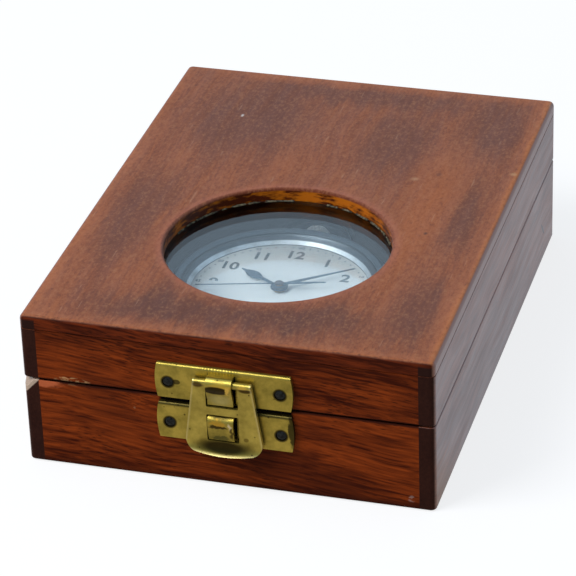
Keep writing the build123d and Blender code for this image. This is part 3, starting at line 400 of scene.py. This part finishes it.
# A mottle about 1 mm across, fine scratches, dark flecks at the front and single spots
mottle = streaks(tree, place, (1500, 900, 900), 3.0, rough=0.7)
pale_dots = put(tree, "MapRange", {"Value": mottle, "From Min": 0.5, "From Max": 0.75})
colour = lay(tree, colour, "B47A52", pale_dots, 0.45)
dark_dots = put(tree, "MapRange", {"Value": mottle, "From Min": 0.48, "From Max": 0.25})
colour = lay(tree, colour, "4E2618", dark_dots, 0.5)
scratches = streaks(tree, place, (1400, 110, 110), 1.0, turn=(0, 0, 0.5))
scratches = put(tree, "MapRange", {"Value": scratches, "From Min": 0.73, "From Max": 0.77})
colour = lay(tree, colour, "C69A7C", scratches, 0.22)
flecks = streaks(tree, place, (800, 2600, 2600), 2.0)
flecks = put(tree, "MapRange", {"Value": flecks, "From Min": 0.58, "From Max": 0.66})
front_rim = put(tree, "MapRange", {
    "Value": axes["Y"], "From Min": -60.4 * mm, "From Max": -58.9 * mm, "To Min": 1.0, "To Max": 0.0,
})
flecks = put(tree, "Math", {0: flecks, 1: front_rim}, operation="MULTIPLY")
colour = lay(tree, colour, "2A110B", flecks, 0.6)
for x, y, wide, long, tint, amount in (
        (22.2, 15.8, 1.5, 1.2, "C8946C", 0.5), (43.4, 22.6, 1.2, 1.2, "D0A070", 0.5),
        (-24.7, 37.6, 0.5, 1.0, "E2D6CE", 0.8), (30.4, -8.0, 0.7, 0.9, "2A1512", 0.7),
        (27.0, 19.0, 1.1, 1.6, "5A2E1E", 0.5)):
    patch = mark(tree, place, (x, y, lid_top), (wide, long, 3), full=0.9)
    colour = lay(tree, colour, tint, patch, amount)
# The wall of the window, amber with old varnish and crusted dark to the left and right
wall = put(tree, "MapRange", {
    "Value": from_window, "From Min": 0.1 * mm, "From Max": 0.25 * mm, "To Min": 1.0, "To Max": 0.0,
})
below_rim = put(tree, "MapRange", {
    "Value": axes["Z"], "From Min": 35.2 * mm, "From Max": 35.5 * mm, "To Min": 1.0, "To Max": 0.0,
})
wall = put(tree, "Math", {0: wall, 1: below_rim}, operation="MULTIPLY")
off_middle = put(tree, "Math", {0: axes["X"], 1: 5.0 * mm}, operation="SUBTRACT")
off_middle = put(tree, "Math", {0: off_middle}, operation="ABSOLUTE")
crusted = put(tree, "MapRange", {
    "Value": off_middle, "From Min": 6.0 * mm, "From Max": 19.0 * mm, "To Min": -0.04, "To Max": 0.1,
})
runs = streaks(tree, place, (260, 260, 900), 4.0, rough=0.6)
runs = put(tree, "Math", {0: runs, 1: crusted}, operation="ADD")
runs = put(tree, "MapRange", {"Value": runs, "From Min": 0.44, "From Max": 0.6})
amber = put(tree, "Mix", {0: runs, 6: linear("B4600F"), 7: linear("4C1D0A")}, data_type="RGBA")
colour = put(tree, "Mix", {0: wall, 6: colour, 7: amber}, data_type="RGBA")
# The outer edges, drawn as the walls below them
end_wood = wood(tree, spot, (0, -0.1, 0), "7A2F10", "3A1206", 0.34, 0.7)[0]
below_arris = put(tree, "MapRange", {
    "Value": axes["Z"], "From Min": 34.9 * mm, "From Max": 35.4 * mm, "To Min": 1.0, "To Max": 0.0,
})
past_end = put(tree, "MapRange", {
    "Value": from_side, "From Min": 3.4 * mm, "From Max": 3.6 * mm, "To Min": 1.0, "To Max": 0.0,
})
past_end = put(tree, "Math", {0: below_arris, 1: past_end}, operation="MULTIPLY")
end_wood = lay(tree, end_wood, "2C1611", past_end)
end_edge = put(tree, "MapRange", {"Value": from_window, "From Min": 1.0 * mm, "From Max": 2.0 * mm})
end_edge = put(tree, "Math", {0: end_edge, 1: facing(tree, spot, "Y")}, operation="MULTIPLY")
colour = put(tree, "Mix", {0: end_edge, 6: colour, 7: end_wood}, data_type="RGBA")
side_edge = put(tree, "MapRange", {
    "Value": from_side, "From Min": 0.8 * mm, "From Max": 1.2 * mm, "To Min": 1.0, "To Max": 0.0,
})
side_edge = put(tree, "Math", {0: facing(tree, spot, "X"), 1: side_edge}, operation="MULTIPLY")
colour = lay(tree, colour, "7A4028", side_edge)
tree.links.new(colour, finish.inputs["Base Color"])
for socket, side_value in (("Specular IOR Level", 0.95), ("Roughness", 0.34)):
    board_value = finish.inputs[socket].links[0].from_socket
    value = put(tree, "Mix", {0: side_edge, 2: board_value, 3: side_value}, data_type="FLOAT")
    tree.links.new(value, finish.inputs[socket])
nodes["lid_top_board"].material_slots[0].material = top_board

# The inside woodwork
# The bottom board, the bed that carries the watch and the rebated frame that holds the pane are
# varnished mahogany, darkened nearly black from 7 mm up.
inner_wood, tree, spot, colour, finish = mahogany(
    "varnished_inner_mahogany", (0, 0, -pi / 2), "96522C", "6C3217", "552A18", (0.24, 0.7), 0.45, 0.4, "Y")
height = put(tree, "SeparateXYZ", {"Vector": spot["Object"]}).node.outputs["Z"]
blacked = put(tree, "MapRange", {"Value": height, "From Min": 6.0 * mm, "From Max": 7.0 * mm})
colour = lay(tree, colour, "1E201D", blacked, 0.97)
tree.links.new(colour, finish.inputs["Base Color"])
for name in ("bottom_board", "watch_bed", "glass_frame"):
    nodes[name].material_slots[0].material = inner_wood


# The pane of the window
# Old drawn sheet glass, 2 mm thick, puttied in under the top board. It mirrors the pale paper
# behind the box as a blue-grey veil over the watch.
def clear_glass(name, tint):
    """Smooth clear glass that lets the light through to what lies behind it."""
    material, tree = material_tree(name)
    body = put(tree, "BsdfPrincipled", {
        "Base Color": linear(tint), "Transmission Weight": 1.0, "IOR": 1.5, "Roughness": 0.0,
    })
    see_through = put(tree, "BsdfTransparent", {"Color": linear(tint)})
    shadow = put(tree, "LightPath").node.outputs["Is Shadow Ray"]
    put(tree, "OutputMaterial", {"Surface": put(tree, "MixShader", {0: shadow, 1: body, 2: see_through})})
    return material


nodes["window_glass"].material_slots[0].material = clear_glass("drawn_sheet_glass", "F3F7F9")

# Glazing compound
# What is left of the old linseed compound round the foot of the window's wall: a broken line of
# grey-brown lumps under a millimetre across.
bpy.ops.object.select_all(action="DESELECT")
bpy.ops.mesh.primitive_torus_add(
    major_segments=240, minor_segments=8, major_radius=24.75 * mm, minor_radius=0.2 * mm,
    location=(0, axis_y * mm, 32.85 * mm))
compound = bpy.context.object
compound.name = "glazing_compound"
bpy.ops.object.transform_apply(location=True)
bpy.ops.object.mode_set(mode="EDIT")
bpy.ops.mesh.select_all(action="SELECT")
bpy.ops.transform.vertex_random(offset=0.14 * mm, seed=3)
bpy.ops.mesh.select_all(action="DESELECT")
bpy.ops.object.mode_set(mode="OBJECT")
# The stretches that are left, in degrees round the window
kept_runs = (
    (98, 113), (115, 121), (123, 131), (133, 137), (139, 153), (155, 160), (22, 32), (34, 39),
    (41, 50), (52, 61), (64, 70), (74, 79), (163, 170), (196, 206), (318, 332))
for face in compound.data.polygons:
    arm = face.center - Vector((0, axis_y * mm, 0))
    around = (Vector((1, 0)).angle_signed(Vector((arm.x, arm.y))) * -180 / pi) % 360
    face.select = not any(start < around < stop for start, stop in kept_runs)
bpy.ops.object.mode_set(mode="EDIT")
bpy.ops.mesh.delete(type="FACE")
bpy.ops.mesh.select_all(action="SELECT")
bpy.ops.mesh.fill_holes(sides=12)
bpy.ops.mesh.normals_make_consistent(inside=False)
bpy.ops.object.mode_set(mode="OBJECT")
old_compound, tree = material_tree("linseed_glazing_compound")
place = put(tree, "TexCoord").node.outputs["Object"]
crumb = put(tree, "TexNoise", {"Vector": place, "Scale": 1400.0, "Detail": 3.0})
tone = put(tree, "MapRange", {"Value": crumb, "From Min": 0.4, "From Max": 0.6})
tone = put(tree, "Mix", {0: tone, 6: linear("746A50"), 7: linear("2A2418")}, data_type="RGBA")
relief = put(tree, "Bump", {"Strength": 0.6, "Distance": 0.1 * mm, "Height": crumb})
skin = put(tree, "BsdfPrincipled", {"Base Color": tone, "Roughness": 0.75, "Normal": relief})
put(tree, "OutputMaterial", {"Surface": skin})
compound.data.materials.append(old_compound)
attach(compound, "lid")


# The watch case
# Nickel plated brass: the back and bezel screw on the middle, the crown and bow sit beyond
# twelve. Polished once, now covered in hairlines that blur what it mirrors.
def plated(name, tint, rough, hairline):
    """Polished metal with fine hairlines, drawn 0.2 mm apart so that they show."""
    material, tree = material_tree(name)
    place = put(tree, "TexCoord").node.outputs["Object"]
    wipe = streaks(tree, place, (900, 5000, 5000), 2.0, turn=(0, 0, 0.5))
    dull = put(tree, "TexNoise", {"Vector": place, "Scale": 260.0, "Detail": 3.0})
    rough = put(tree, "MapRange", {
        "Value": dull, "From Min": 0.35, "From Max": 0.65, "To Min": rough, "To Max": rough + 0.14,
    })
    relief = put(tree, "Bump", {"Strength": hairline, "Distance": 0.01 * mm, "Height": wipe})
    worn = put(tree, "MapRange", {"Value": dull, "From Min": 0.45, "From Max": 0.75})
    tone = lay(tree, linear(tint), "6C6A62", worn, 0.5)
    metal = put(tree, "BsdfPrincipled", {
        "Base Color": tone, "Metallic": 1.0, "Roughness": rough, "Normal": relief,
    })
    put(tree, "OutputMaterial", {"Surface": metal})
    return material, tree, place, tone, metal.node


def shade_above(tree, place, tone, metal, level, fade, amount, tint):
    """Paint shade into a metal's colour above a level, as under a lip; level and fade are in metres."""
    height = put(tree, "SeparateXYZ", {"Vector": place}).node.outputs["Z"]
    above = put(tree, "MapRange", {
        "Value": height, "From Min": level, "From Max": level + fade,
    }, interpolation_type="SMOOTHSTEP")
    tree.links.new(lay(tree, tone, tint, above, amount), metal.inputs["Base Color"])


nickel, tree, place, tone, metal = plated("nickel_plated_case", "6A747A", 0.3, 0.2)
bezel_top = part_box("case_bezel")[1].z
# Painted shade on the bezel's top, dimming what it mirrors there
shade_above(tree, place, tone, metal, bezel_top - 0.9 * mm, 0.4 * mm, 0.5, "3C4850")
for name in ("case_middle", "case_back", "case_bezel", "bow"):
    nodes[name].material_slots[0].material = nickel
satin, tree, place, tone, metal = plated("satin_nickel_crown", "F2F4F4", 0.42, 0.3)
metal.inputs["Metallic"].default_value = 0.5
nodes["crown"].material_slots[0].material = satin

# The reflector ring
# A turned and bevelled ring of bright nickel round the dial, held by the bezel. A painted dark line
# of shadow parts it from the dial, and its upper part is painted dark as the bezel's shade.
dial_top = dial_high.z
reflector, tree, place, tone, metal = plated("bright_nickel_reflector_ring", "F0F4F4", 0.32, 0.15)
height = put(tree, "SeparateXYZ", {"Vector": place}).node.outputs["Z"]
foot_line = put(tree, "MapRange", {
    "Value": height, "From Min": dial_top + 0.16 * mm, "From Max": dial_top + 0.2 * mm,
    "To Min": 0.9, "To Max": 0.0,
})
tone = lay(tree, tone, "2A3438", foot_line)
shade_above(tree, place, tone, metal, dial_top + 0.7 * mm, 0.2 * mm, 0.92, "36424A")
nodes["dial_ring"].material_slots[0].material = reflector

# The watch glass
# A thin domed crystal snapped into the bezel, clear and polished.
nodes["watch_crystal"].material_slots[0].material = clear_glass("domed_watch_crystal", "FAFBFC")

# The dial
# A brass plate silvered matt, with a very fine even grain. It lies in the bezel's shade towards
# twelve, and that shade is painted into its colour, darker there.
silvered, tree = material_tree("matt_silvered_dial")
place = put(tree, "TexCoord").node.outputs["Object"]
grit = put(tree, "TexNoise", {"Vector": place, "Scale": 4200.0, "Detail": 2.0})
relief = put(tree, "Bump", {"Strength": 0.15, "Distance": 0.01 * mm, "Height": grit})
age = put(tree, "TexNoise", {"Vector": place, "Scale": 90.0, "Detail": 3.0})
age = put(tree, "MapRange", {"Value": age, "From Min": 0.35, "From Max": 0.7})
silver = lay(tree, linear("E2E2DE"), "D0D2CF", age, 0.5)
along = put(tree, "SeparateXYZ", {"Vector": place}).node.outputs["Y"]
far_side = put(tree, "MapRange", {
    "Value": along, "From Min": -13.0 * mm, "From Max": 1.0 * mm,
}, interpolation_type="SMOOTHSTEP")
silver = lay(tree, silver, "8C8C88", far_side, 0.55)
plate = put(tree, "BsdfPrincipled", {
    "Base Color": silver, "Metallic": 0.15, "Roughness": 0.55, "Normal": relief,
})
put(tree, "OutputMaterial", {"Surface": plate})
nodes["dial"].material_slots[0].material = silvered


# The printing on the dial
# Upright plain numerals and a track of minute dots with small figures every five, stamped in
# slate ink. The ink stands a few hundredths of a millimetre on the silver.
def stamp(words, height, middle):
    """Print words of that height, centred at middle, as a thin film on the dial; sizes in mm."""
    bpy.ops.object.text_add()
    word = bpy.context.object
    word.data.body = words
    word.data.extrude = 0.001
    word.data.offset = 0.026
    word.data.align_x = "CENTER"
    bpy.ops.object.convert(target="MESH")
    corners = [vertex.co for vertex in word.data.vertices]
    wide = (min(c.x for c in corners) + max(c.x for c in corners)) / 2
    tall = (min(c.y for c in corners), max(c.y for c in corners))
    scale = height * mm / (tall[1] - tall[0])
    to_place = Matrix.Translation((middle[0] * mm, middle[1] * mm, dial_top + 0.012 * mm))
    to_middle = Matrix.Translation((-wide, -(tall[0] + tall[1]) / 2, 0))
    word.data.transform(to_place @ Matrix.Diagonal((scale, scale, 8 * mm, 1)) @ to_middle)
    return word


def gather(parts, name, ink, body):
    """Join like pieces into one, give it its ink, and let it ride."""
    bpy.ops.object.select_all(action="DESELECT")
    for part in parts:
        part.select_set(True)
    bpy.context.view_layer.objects.active = parts[0]
    bpy.ops.object.join()
    parts[0].name = name
    parts[0].data.materials.clear()
    parts[0].data.materials.append(ink)
    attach(parts[0], body)


def printing_ink(name, tint):
    """Thin printed ink, worn a little through to the silver in places."""
    material, tree = material_tree(name)
    place = put(tree, "TexCoord").node.outputs["Object"]
    thin = put(tree, "TexNoise", {"Vector": place, "Scale": 2600.0, "Detail": 2.0})
    thin = put(tree, "MapRange", {"Value": thin, "From Min": 0.45, "From Max": 0.75})
    tone = lay(tree, linear(tint), "9AA4A8", thin, 0.6)
    film = put(tree, "BsdfPrincipled", {"Base Color": tone, "Roughness": 0.5})
    put(tree, "OutputMaterial", {"Surface": film})
    return material


def on_dial(radius, minute):
    """The place on the dial at a radius in mm and a minute: how far right of and beyond its axis."""
    return radius * sin(radians(6 * minute)), radius * cos(radians(6 * minute))


slate_ink = printing_ink("slate_dial_ink", "36403F")
numerals = []
for hour in range(1, 13):
    right, far = on_dial(15.1, 5 * hour)
    numerals.append(stamp(str(hour), 3.25, (right - 0.25, axis_y + 0.35 + far)))
gather(numerals, "dial_hour_numerals", slate_ink, "base")
pale_ink = printing_ink("pale_slate_dial_ink", "4E5A60")
figures = []
for minute in range(5, 61, 5):
    right, far = on_dial(18.7, minute)
    figures.append(stamp(str(minute), 1.0, (right, axis_y + far)))
gather(figures, "dial_minute_figures", pale_ink, "base")
red_ink = printing_ink("faded_red_dial_ink", "A4746C")
red_minutes = (56, 57, 58)
plain_minutes = [minute for minute in range(60) if minute % 5 and minute not in red_minutes]
for name, minutes, ink in (
        ("dial_minute_dots", plain_minutes, pale_ink),
        ("dial_red_dots", red_minutes, red_ink)):
    dots = []
    for minute in minutes:
        bpy.ops.mesh.primitive_circle_add(vertices=12, radius=0.21 * mm, fill_type="NGON", location=(0, 0, 0))
        dot = bpy.context.object
        bpy.ops.object.mode_set(mode="EDIT")
        bpy.ops.mesh.extrude_region_move(TRANSFORM_OT_translate={"value": (0, 0, 0.012 * mm)})
        bpy.ops.mesh.select_all(action="SELECT")
        bpy.ops.mesh.normals_make_consistent(inside=False)
        bpy.ops.object.mode_set(mode="OBJECT")
        right, far = on_dial(18.6, minute)
        dot.data.transform(Matrix.Translation((right * mm, (axis_y + far) * mm, dial_top + 0.005 * mm)))
        dots.append(dot)
    gather(dots, name, ink, "base")

# The hands
# Stamped steel, heated until it turned blue and now faded towards slate. The boss of the seconds
# hand is a turned cap that has browned.
blued, tree = material_tree("heat_blued_steel")
place = put(tree, "TexCoord").node.outputs["Object"]
fade = put(tree, "TexNoise", {"Vector": place, "Scale": 420.0, "Detail": 2.0})
fade = put(tree, "MapRange", {"Value": fade, "From Min": 0.35, "From Max": 0.65})
blue = lay(tree, linear("33495A"), "44606E", fade)
boss_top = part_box("seconds_hand")[1].z / mm
cap = mark(tree, place, (0, axis_y, boss_top), (1.15, 1.15, 1.15), full=0.15)
blue = lay(tree, blue, "4A3A34", cap)
steel = put(tree, "BsdfPrincipled", {"Base Color": blue, "Metallic": 0.85, "Roughness": 0.3})
put(tree, "OutputMaterial", {"Surface": steel})
for name in ("hour_hand", "minute_hand", "seconds_hand"):
    nodes[name].material_slots[0].material = blued

# The movement and its arbors
# Gilt brass plates with a fine circular grain, the pinions that carry the hands, and ground steel
# for the winding stem and the seconds arbor. All of it is shut in the case.
gilt, tree = material_tree("gilt_brass_movement")
place = put(tree, "TexCoord").node.outputs["Object"]
centred = put(tree, "Mapping", {"Vector": place, "Location": (0, -axis_y * mm, 0)})
rings = put(tree, "TexWave", {
    "Vector": centred, "Scale": 900.0, "Distortion": 0.4,
}, wave_type="RINGS", rings_direction="Z")
relief = put(tree, "Bump", {"Strength": 0.2, "Distance": 0.02 * mm, "Height": rings})
gold = put(tree, "TexNoise", {"Vector": place, "Scale": 300.0})
gold = put(tree, "Mix", {0: gold, 6: linear("D8B873"), 7: linear("C09C56")}, data_type="RGBA")
metal = put(tree, "BsdfPrincipled", {
    "Base Color": gold, "Metallic": 1.0, "Roughness": 0.32, "Normal": relief,
})
put(tree, "OutputMaterial", {"Surface": metal})
for name in ("movement", "cannon_pinion", "hour_pipe"):
    nodes[name].material_slots[0].material = gilt
ground_steel = plated("ground_steel", "C4C6C8", 0.22, 0.4)[0]
for name in ("winding_stem", "seconds_arbor"):
    nodes[name].material_slots[0].material = ground_steel


# The latch plates
# Two brass plates pressed with a rolled top edge and a lanced tongue, and nailed on. The brass has
# gone olive, darker round the nails, with small pits, and carries painted highlights, painted
# reflections and painted shade on the loop, the catch and the lower plate's top edge.
def brass(name, clean, dull):
    """Old brass sheet: cloudy tarnish about 5 mm across, pits of 0.4 mm and a faint rolled grain."""
    material, tree = material_tree(name)
    place = put(tree, "TexCoord").node.outputs["Object"]
    cloud = put(tree, "TexNoise", {"Vector": place, "Scale": 210.0, "Detail": 5.0, "Roughness": 0.65})
    olive = put(tree, "MapRange", {"Value": cloud, "From Min": 0.36, "From Max": 0.66})
    tone = lay(tree, linear(clean), dull, olive)
    cells = put(tree, "TexVoronoi", {"Vector": place, "Scale": 420.0})
    pit = put(tree, "MapRange", {
        "Value": cells, "From Min": 0.07, "From Max": 0.12, "To Min": 1.0, "To Max": 0.0,
    })
    tone = lay(tree, tone, "2E2410", pit, 0.75)
    rough = put(tree, "MapRange", {
        "Value": cloud, "From Min": 0.3, "From Max": 0.7, "To Min": 0.28, "To Max": 0.46,
    })
    rolled = streaks(tree, place, (600, 3000, 3600), 2.0)
    sunk = put(tree, "Math", {0: pit, 1: -1.0}, operation="MULTIPLY")
    height = put(tree, "Math", {0: rolled, 1: 0.4, 2: sunk}, operation="MULTIPLY_ADD")
    relief = put(tree, "Bump", {"Strength": 0.25, "Distance": 0.04 * mm, "Height": height})
    metal = put(tree, "BsdfPrincipled", {
        "Base Color": tone, "Metallic": 0.9, "Roughness": rough, "Normal": relief,
    })
    put(tree, "OutputMaterial", {"Surface": metal})
    return material, tree, place, tone, height, metal.node


plate_sheet, tree, place, tone, height, metal = brass("tarnished_plate_brass", "CCB454", "96863A")
for name in ("latch_lid_nails", "latch_base_nails"):
    head_low, head_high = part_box(name)
    for x in (head_low.x + 1.1 * mm, head_high.x - 1.1 * mm):
        head = (x / mm, -61.7, (head_low.z + head_high.z) / 2 / mm)
        tone = lay(tree, tone, "241C0C", mark(tree, place, head, (1.75, 3, 1.75), full=0.25), 0.9)
notch = put(tree, "TexNoise", {"Vector": place, "Scale": 1100.0, "Detail": 3.0})
jagged = strayed(tree, place, notch, (1.5, 0, 1.5))
loop_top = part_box("latch_hasp")[1].z / mm
# The marks below, in order: a dark spot beside the upper left nail; painted shade along the lower plate's top
# edge under the upper plate; a painted paler reflection on the flat of the loop; a painted gold highlight, a
# painted dark reflection and a painted glint on the loop's crest; painted shade at the top of the catch under
# the hasp; a painted highlight, a painted dark reflection and a painted glint on the catch's crest; painted
# shadow in the gap right of the catch; painted shade in the slot under the catch; and dark nicks on the lower
# plate's sheared right end.
for lie, centre, size, full, tint, amount in (
        (place, (-10.3, -61.7, 24.9), (1.0, 1, 0.7), 0.3, "2E2410", 0.8),
        (place, (0, -61.5, 19.6), (60, 0.9, 1.0), 0.5, "2A2414", 0.85),
        (place, (-0.4, -63.3, loop_top - 4.4), (3.6, 2.2, 2.2), 0.8, "D6CC8E", 0.5),
        (place, (0.2, -64.2, loop_top - 0.5), (3.4, 1.4, 0.75), 0.6, "E8BE4A", 0.9),
        (place, (-0.9, -64.3, loop_top - 1.75), (3.3, 2.2, 1.2), 0.25, "241806", 0.95),
        (jagged, (1.6, -64.0, loop_top - 1.4), (0.75, 1.8, 1.4), 0.5, "F6CE60", 0.95),
        (place, (-0.4, -63.6, 18.4), (3.0, 1.4, 0.5), 0.6, "2E2410", 0.8),
        (jagged, (-1.0, -63.8, 17.3), (2.4, 1.4, 0.9), 0.5, "D8A83C", 0.85),
        (jagged, (-1.0, -63.8, 16.3), (2.6, 1.6, 0.55), 0.4, "2E1E0A", 0.85),
        (jagged, (1.7, -63.8, 16.6), (0.5, 1.6, 0.9), 0.5, "F6E2B4", 0.9),
        (jagged, (2.0, -63.6, 15.0), (0.5, 1.8, 2.0), 0.5, "3A2A0E", 0.8),
        (jagged, (-0.5, -63.2, 13.3), (2.4, 1.6, 0.9), 0.5, "3C4224", 0.7),
        (jagged, (14.9, -61.6, 16.2), (1.3, 2.5, 5.0), 0.35, "1E180A", 0.85)):
    tone = lay(tree, tone, tint, mark(tree, lie, centre, size, full=full), amount)
tree.links.new(tone, metal.inputs["Base Color"])
upper_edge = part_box("latch_upper_plate")[1].z / mm
combed = mark(tree, place, (-0.8, -61.5, upper_edge), (4.6, 2.4, 1.3), full=0.2)
comb = put(tree, "TexWave", {"Vector": place, "Scale": 480.0}, bands_direction="X")
comb = put(tree, "Math", {0: comb, 1: combed}, operation="MULTIPLY")
height = put(tree, "Math", {0: comb, 1: 3.0, 2: height}, operation="MULTIPLY_ADD")
tree.links.new(height, metal.inputs["Normal"].links[0].from_node.inputs["Height"])
for name in ("latch_upper_plate", "latch_lower_plate"):
    nodes[name].material_slots[0].material = plate_sheet

# The hasp
# A sprung strap of the same sheet with two windows and a dished lip, on a bar behind the loop. Its
# brass is a little brighter than the plates', with a painted highlight along its sloping sides and
# curved lip, and painted shade in its lip and on its knuckles.
hasp_sheet, tree, place, tone, height, metal = brass("hasp_brass_with_painted_light", "D4BE5E", "9E8B3E")
axes = put(tree, "SeparateXYZ", {"Vector": place}).node.outputs
lip_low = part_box("latch_hasp")[0].z
hasp_top, half_top, side_slope, lip_bend = 27.2, 6.3, 0.1424, 12.4
aside = put(tree, "Math", {0: axes["X"], 1: 0.1 * mm}, operation="SUBTRACT")
aside = put(tree, "Math", {0: aside}, operation="ABSOLUTE")
half_wide = put(tree, "Math", {
    0: axes["Z"], 1: -side_slope, 2: (half_top + side_slope * hasp_top) * mm,
}, operation="MULTIPLY_ADD")
from_side = put(tree, "Math", {0: half_wide, 1: aside}, operation="SUBTRACT")
aside_squared = put(tree, "Math", {0: aside, 1: aside}, operation="MULTIPLY")
lip_curve = put(tree, "Math", {0: aside_squared, 1: lip_bend, 2: lip_low}, operation="MULTIPLY_ADD")
from_lip = put(tree, "Math", {0: axes["Z"], 1: lip_curve}, operation="SUBTRACT")
rim = put(tree, "Math", {0: from_side, 1: from_lip}, operation="MINIMUM")
rim = put(tree, "MapRange", {
    "Value": rim, "From Min": 0.1 * mm, "From Max": 0.5 * mm, "To Min": 1.0, "To Max": 0.0,
})
# The marks below, in order: painted shade in the dished lip; painted shade on the left and right knuckles and
# a painted highlight on the right one; and a small dark spot near the lower right.
for centre, size, full, tint, amount in (
        ((0.1, -64.6, lip_low / mm + 1.9), (8.2, 3.4, 2.3), 0.5, "241A05", 0.95),
        ((-5.2, -63.4, loop_top - 1.1), (1.6, 1.6, 0.9), 0.5, "4A3012", 0.85),
        ((5.2, -63.4, loop_top - 1.5), (1.9, 1.6, 0.7), 0.5, "3C260C", 0.9),
        ((4.6, -63.4, loop_top - 0.7), (1.5, 1.6, 0.6), 0.6, "F2C858", 0.9),
        ((5.0, -63.4, 13.6), (0.7, 1.6, 0.6), 0.4, "5A4412", 0.6)):
    tone = lay(tree, tone, tint, mark(tree, place, centre, size, full=full), amount)
# A painted highlight along the sloping sides and the curved lip
tone = lay(tree, tone, "ECDC9C", rim, 0.5)
tree.links.new(tone, metal.inputs["Base Color"])
nodes["latch_hasp"].material_slots[0].material = hasp_sheet

# The hinges
# Two brass butt hinges at the back with their pins, of the same sheet as the latch but browner,
# since nobody rubs them.
hinge_sheet = brass("browned_hinge_brass", "B89A4C", "7A6530")[0]
for name in ("hinge_base_leaves", "hinge_lid_leaves", "hinge_pins"):
    nodes[name].material_slots[0].material = hinge_sheet

# The nails
# Round-headed iron pins, blued black and worn grey on the crowns, driven through the plates.
iron, tree = material_tree("blackened_iron_nail")
place = put(tree, "TexCoord").node.outputs["Object"]
scale_skin = put(tree, "TexNoise", {"Vector": place, "Scale": 1800.0, "Detail": 3.0})
relief = put(tree, "Bump", {"Strength": 0.4, "Distance": 0.05 * mm, "Height": scale_skin})
black = put(tree, "MapRange", {"Value": scale_skin, "From Min": 0.4, "From Max": 0.65})
grey = lay(tree, linear("2C2E2E"), "131211", black)
metal = put(tree, "BsdfPrincipled", {
    "Base Color": grey, "Metallic": 0.7, "Roughness": 0.42, "Normal": relief,
})
put(tree, "OutputMaterial", {"Surface": metal})
for name in ("latch_lid_nails", "latch_base_nails", "hinge_base_nails", "hinge_lid_nails"):
    nodes[name].material_slots[0].material = iron
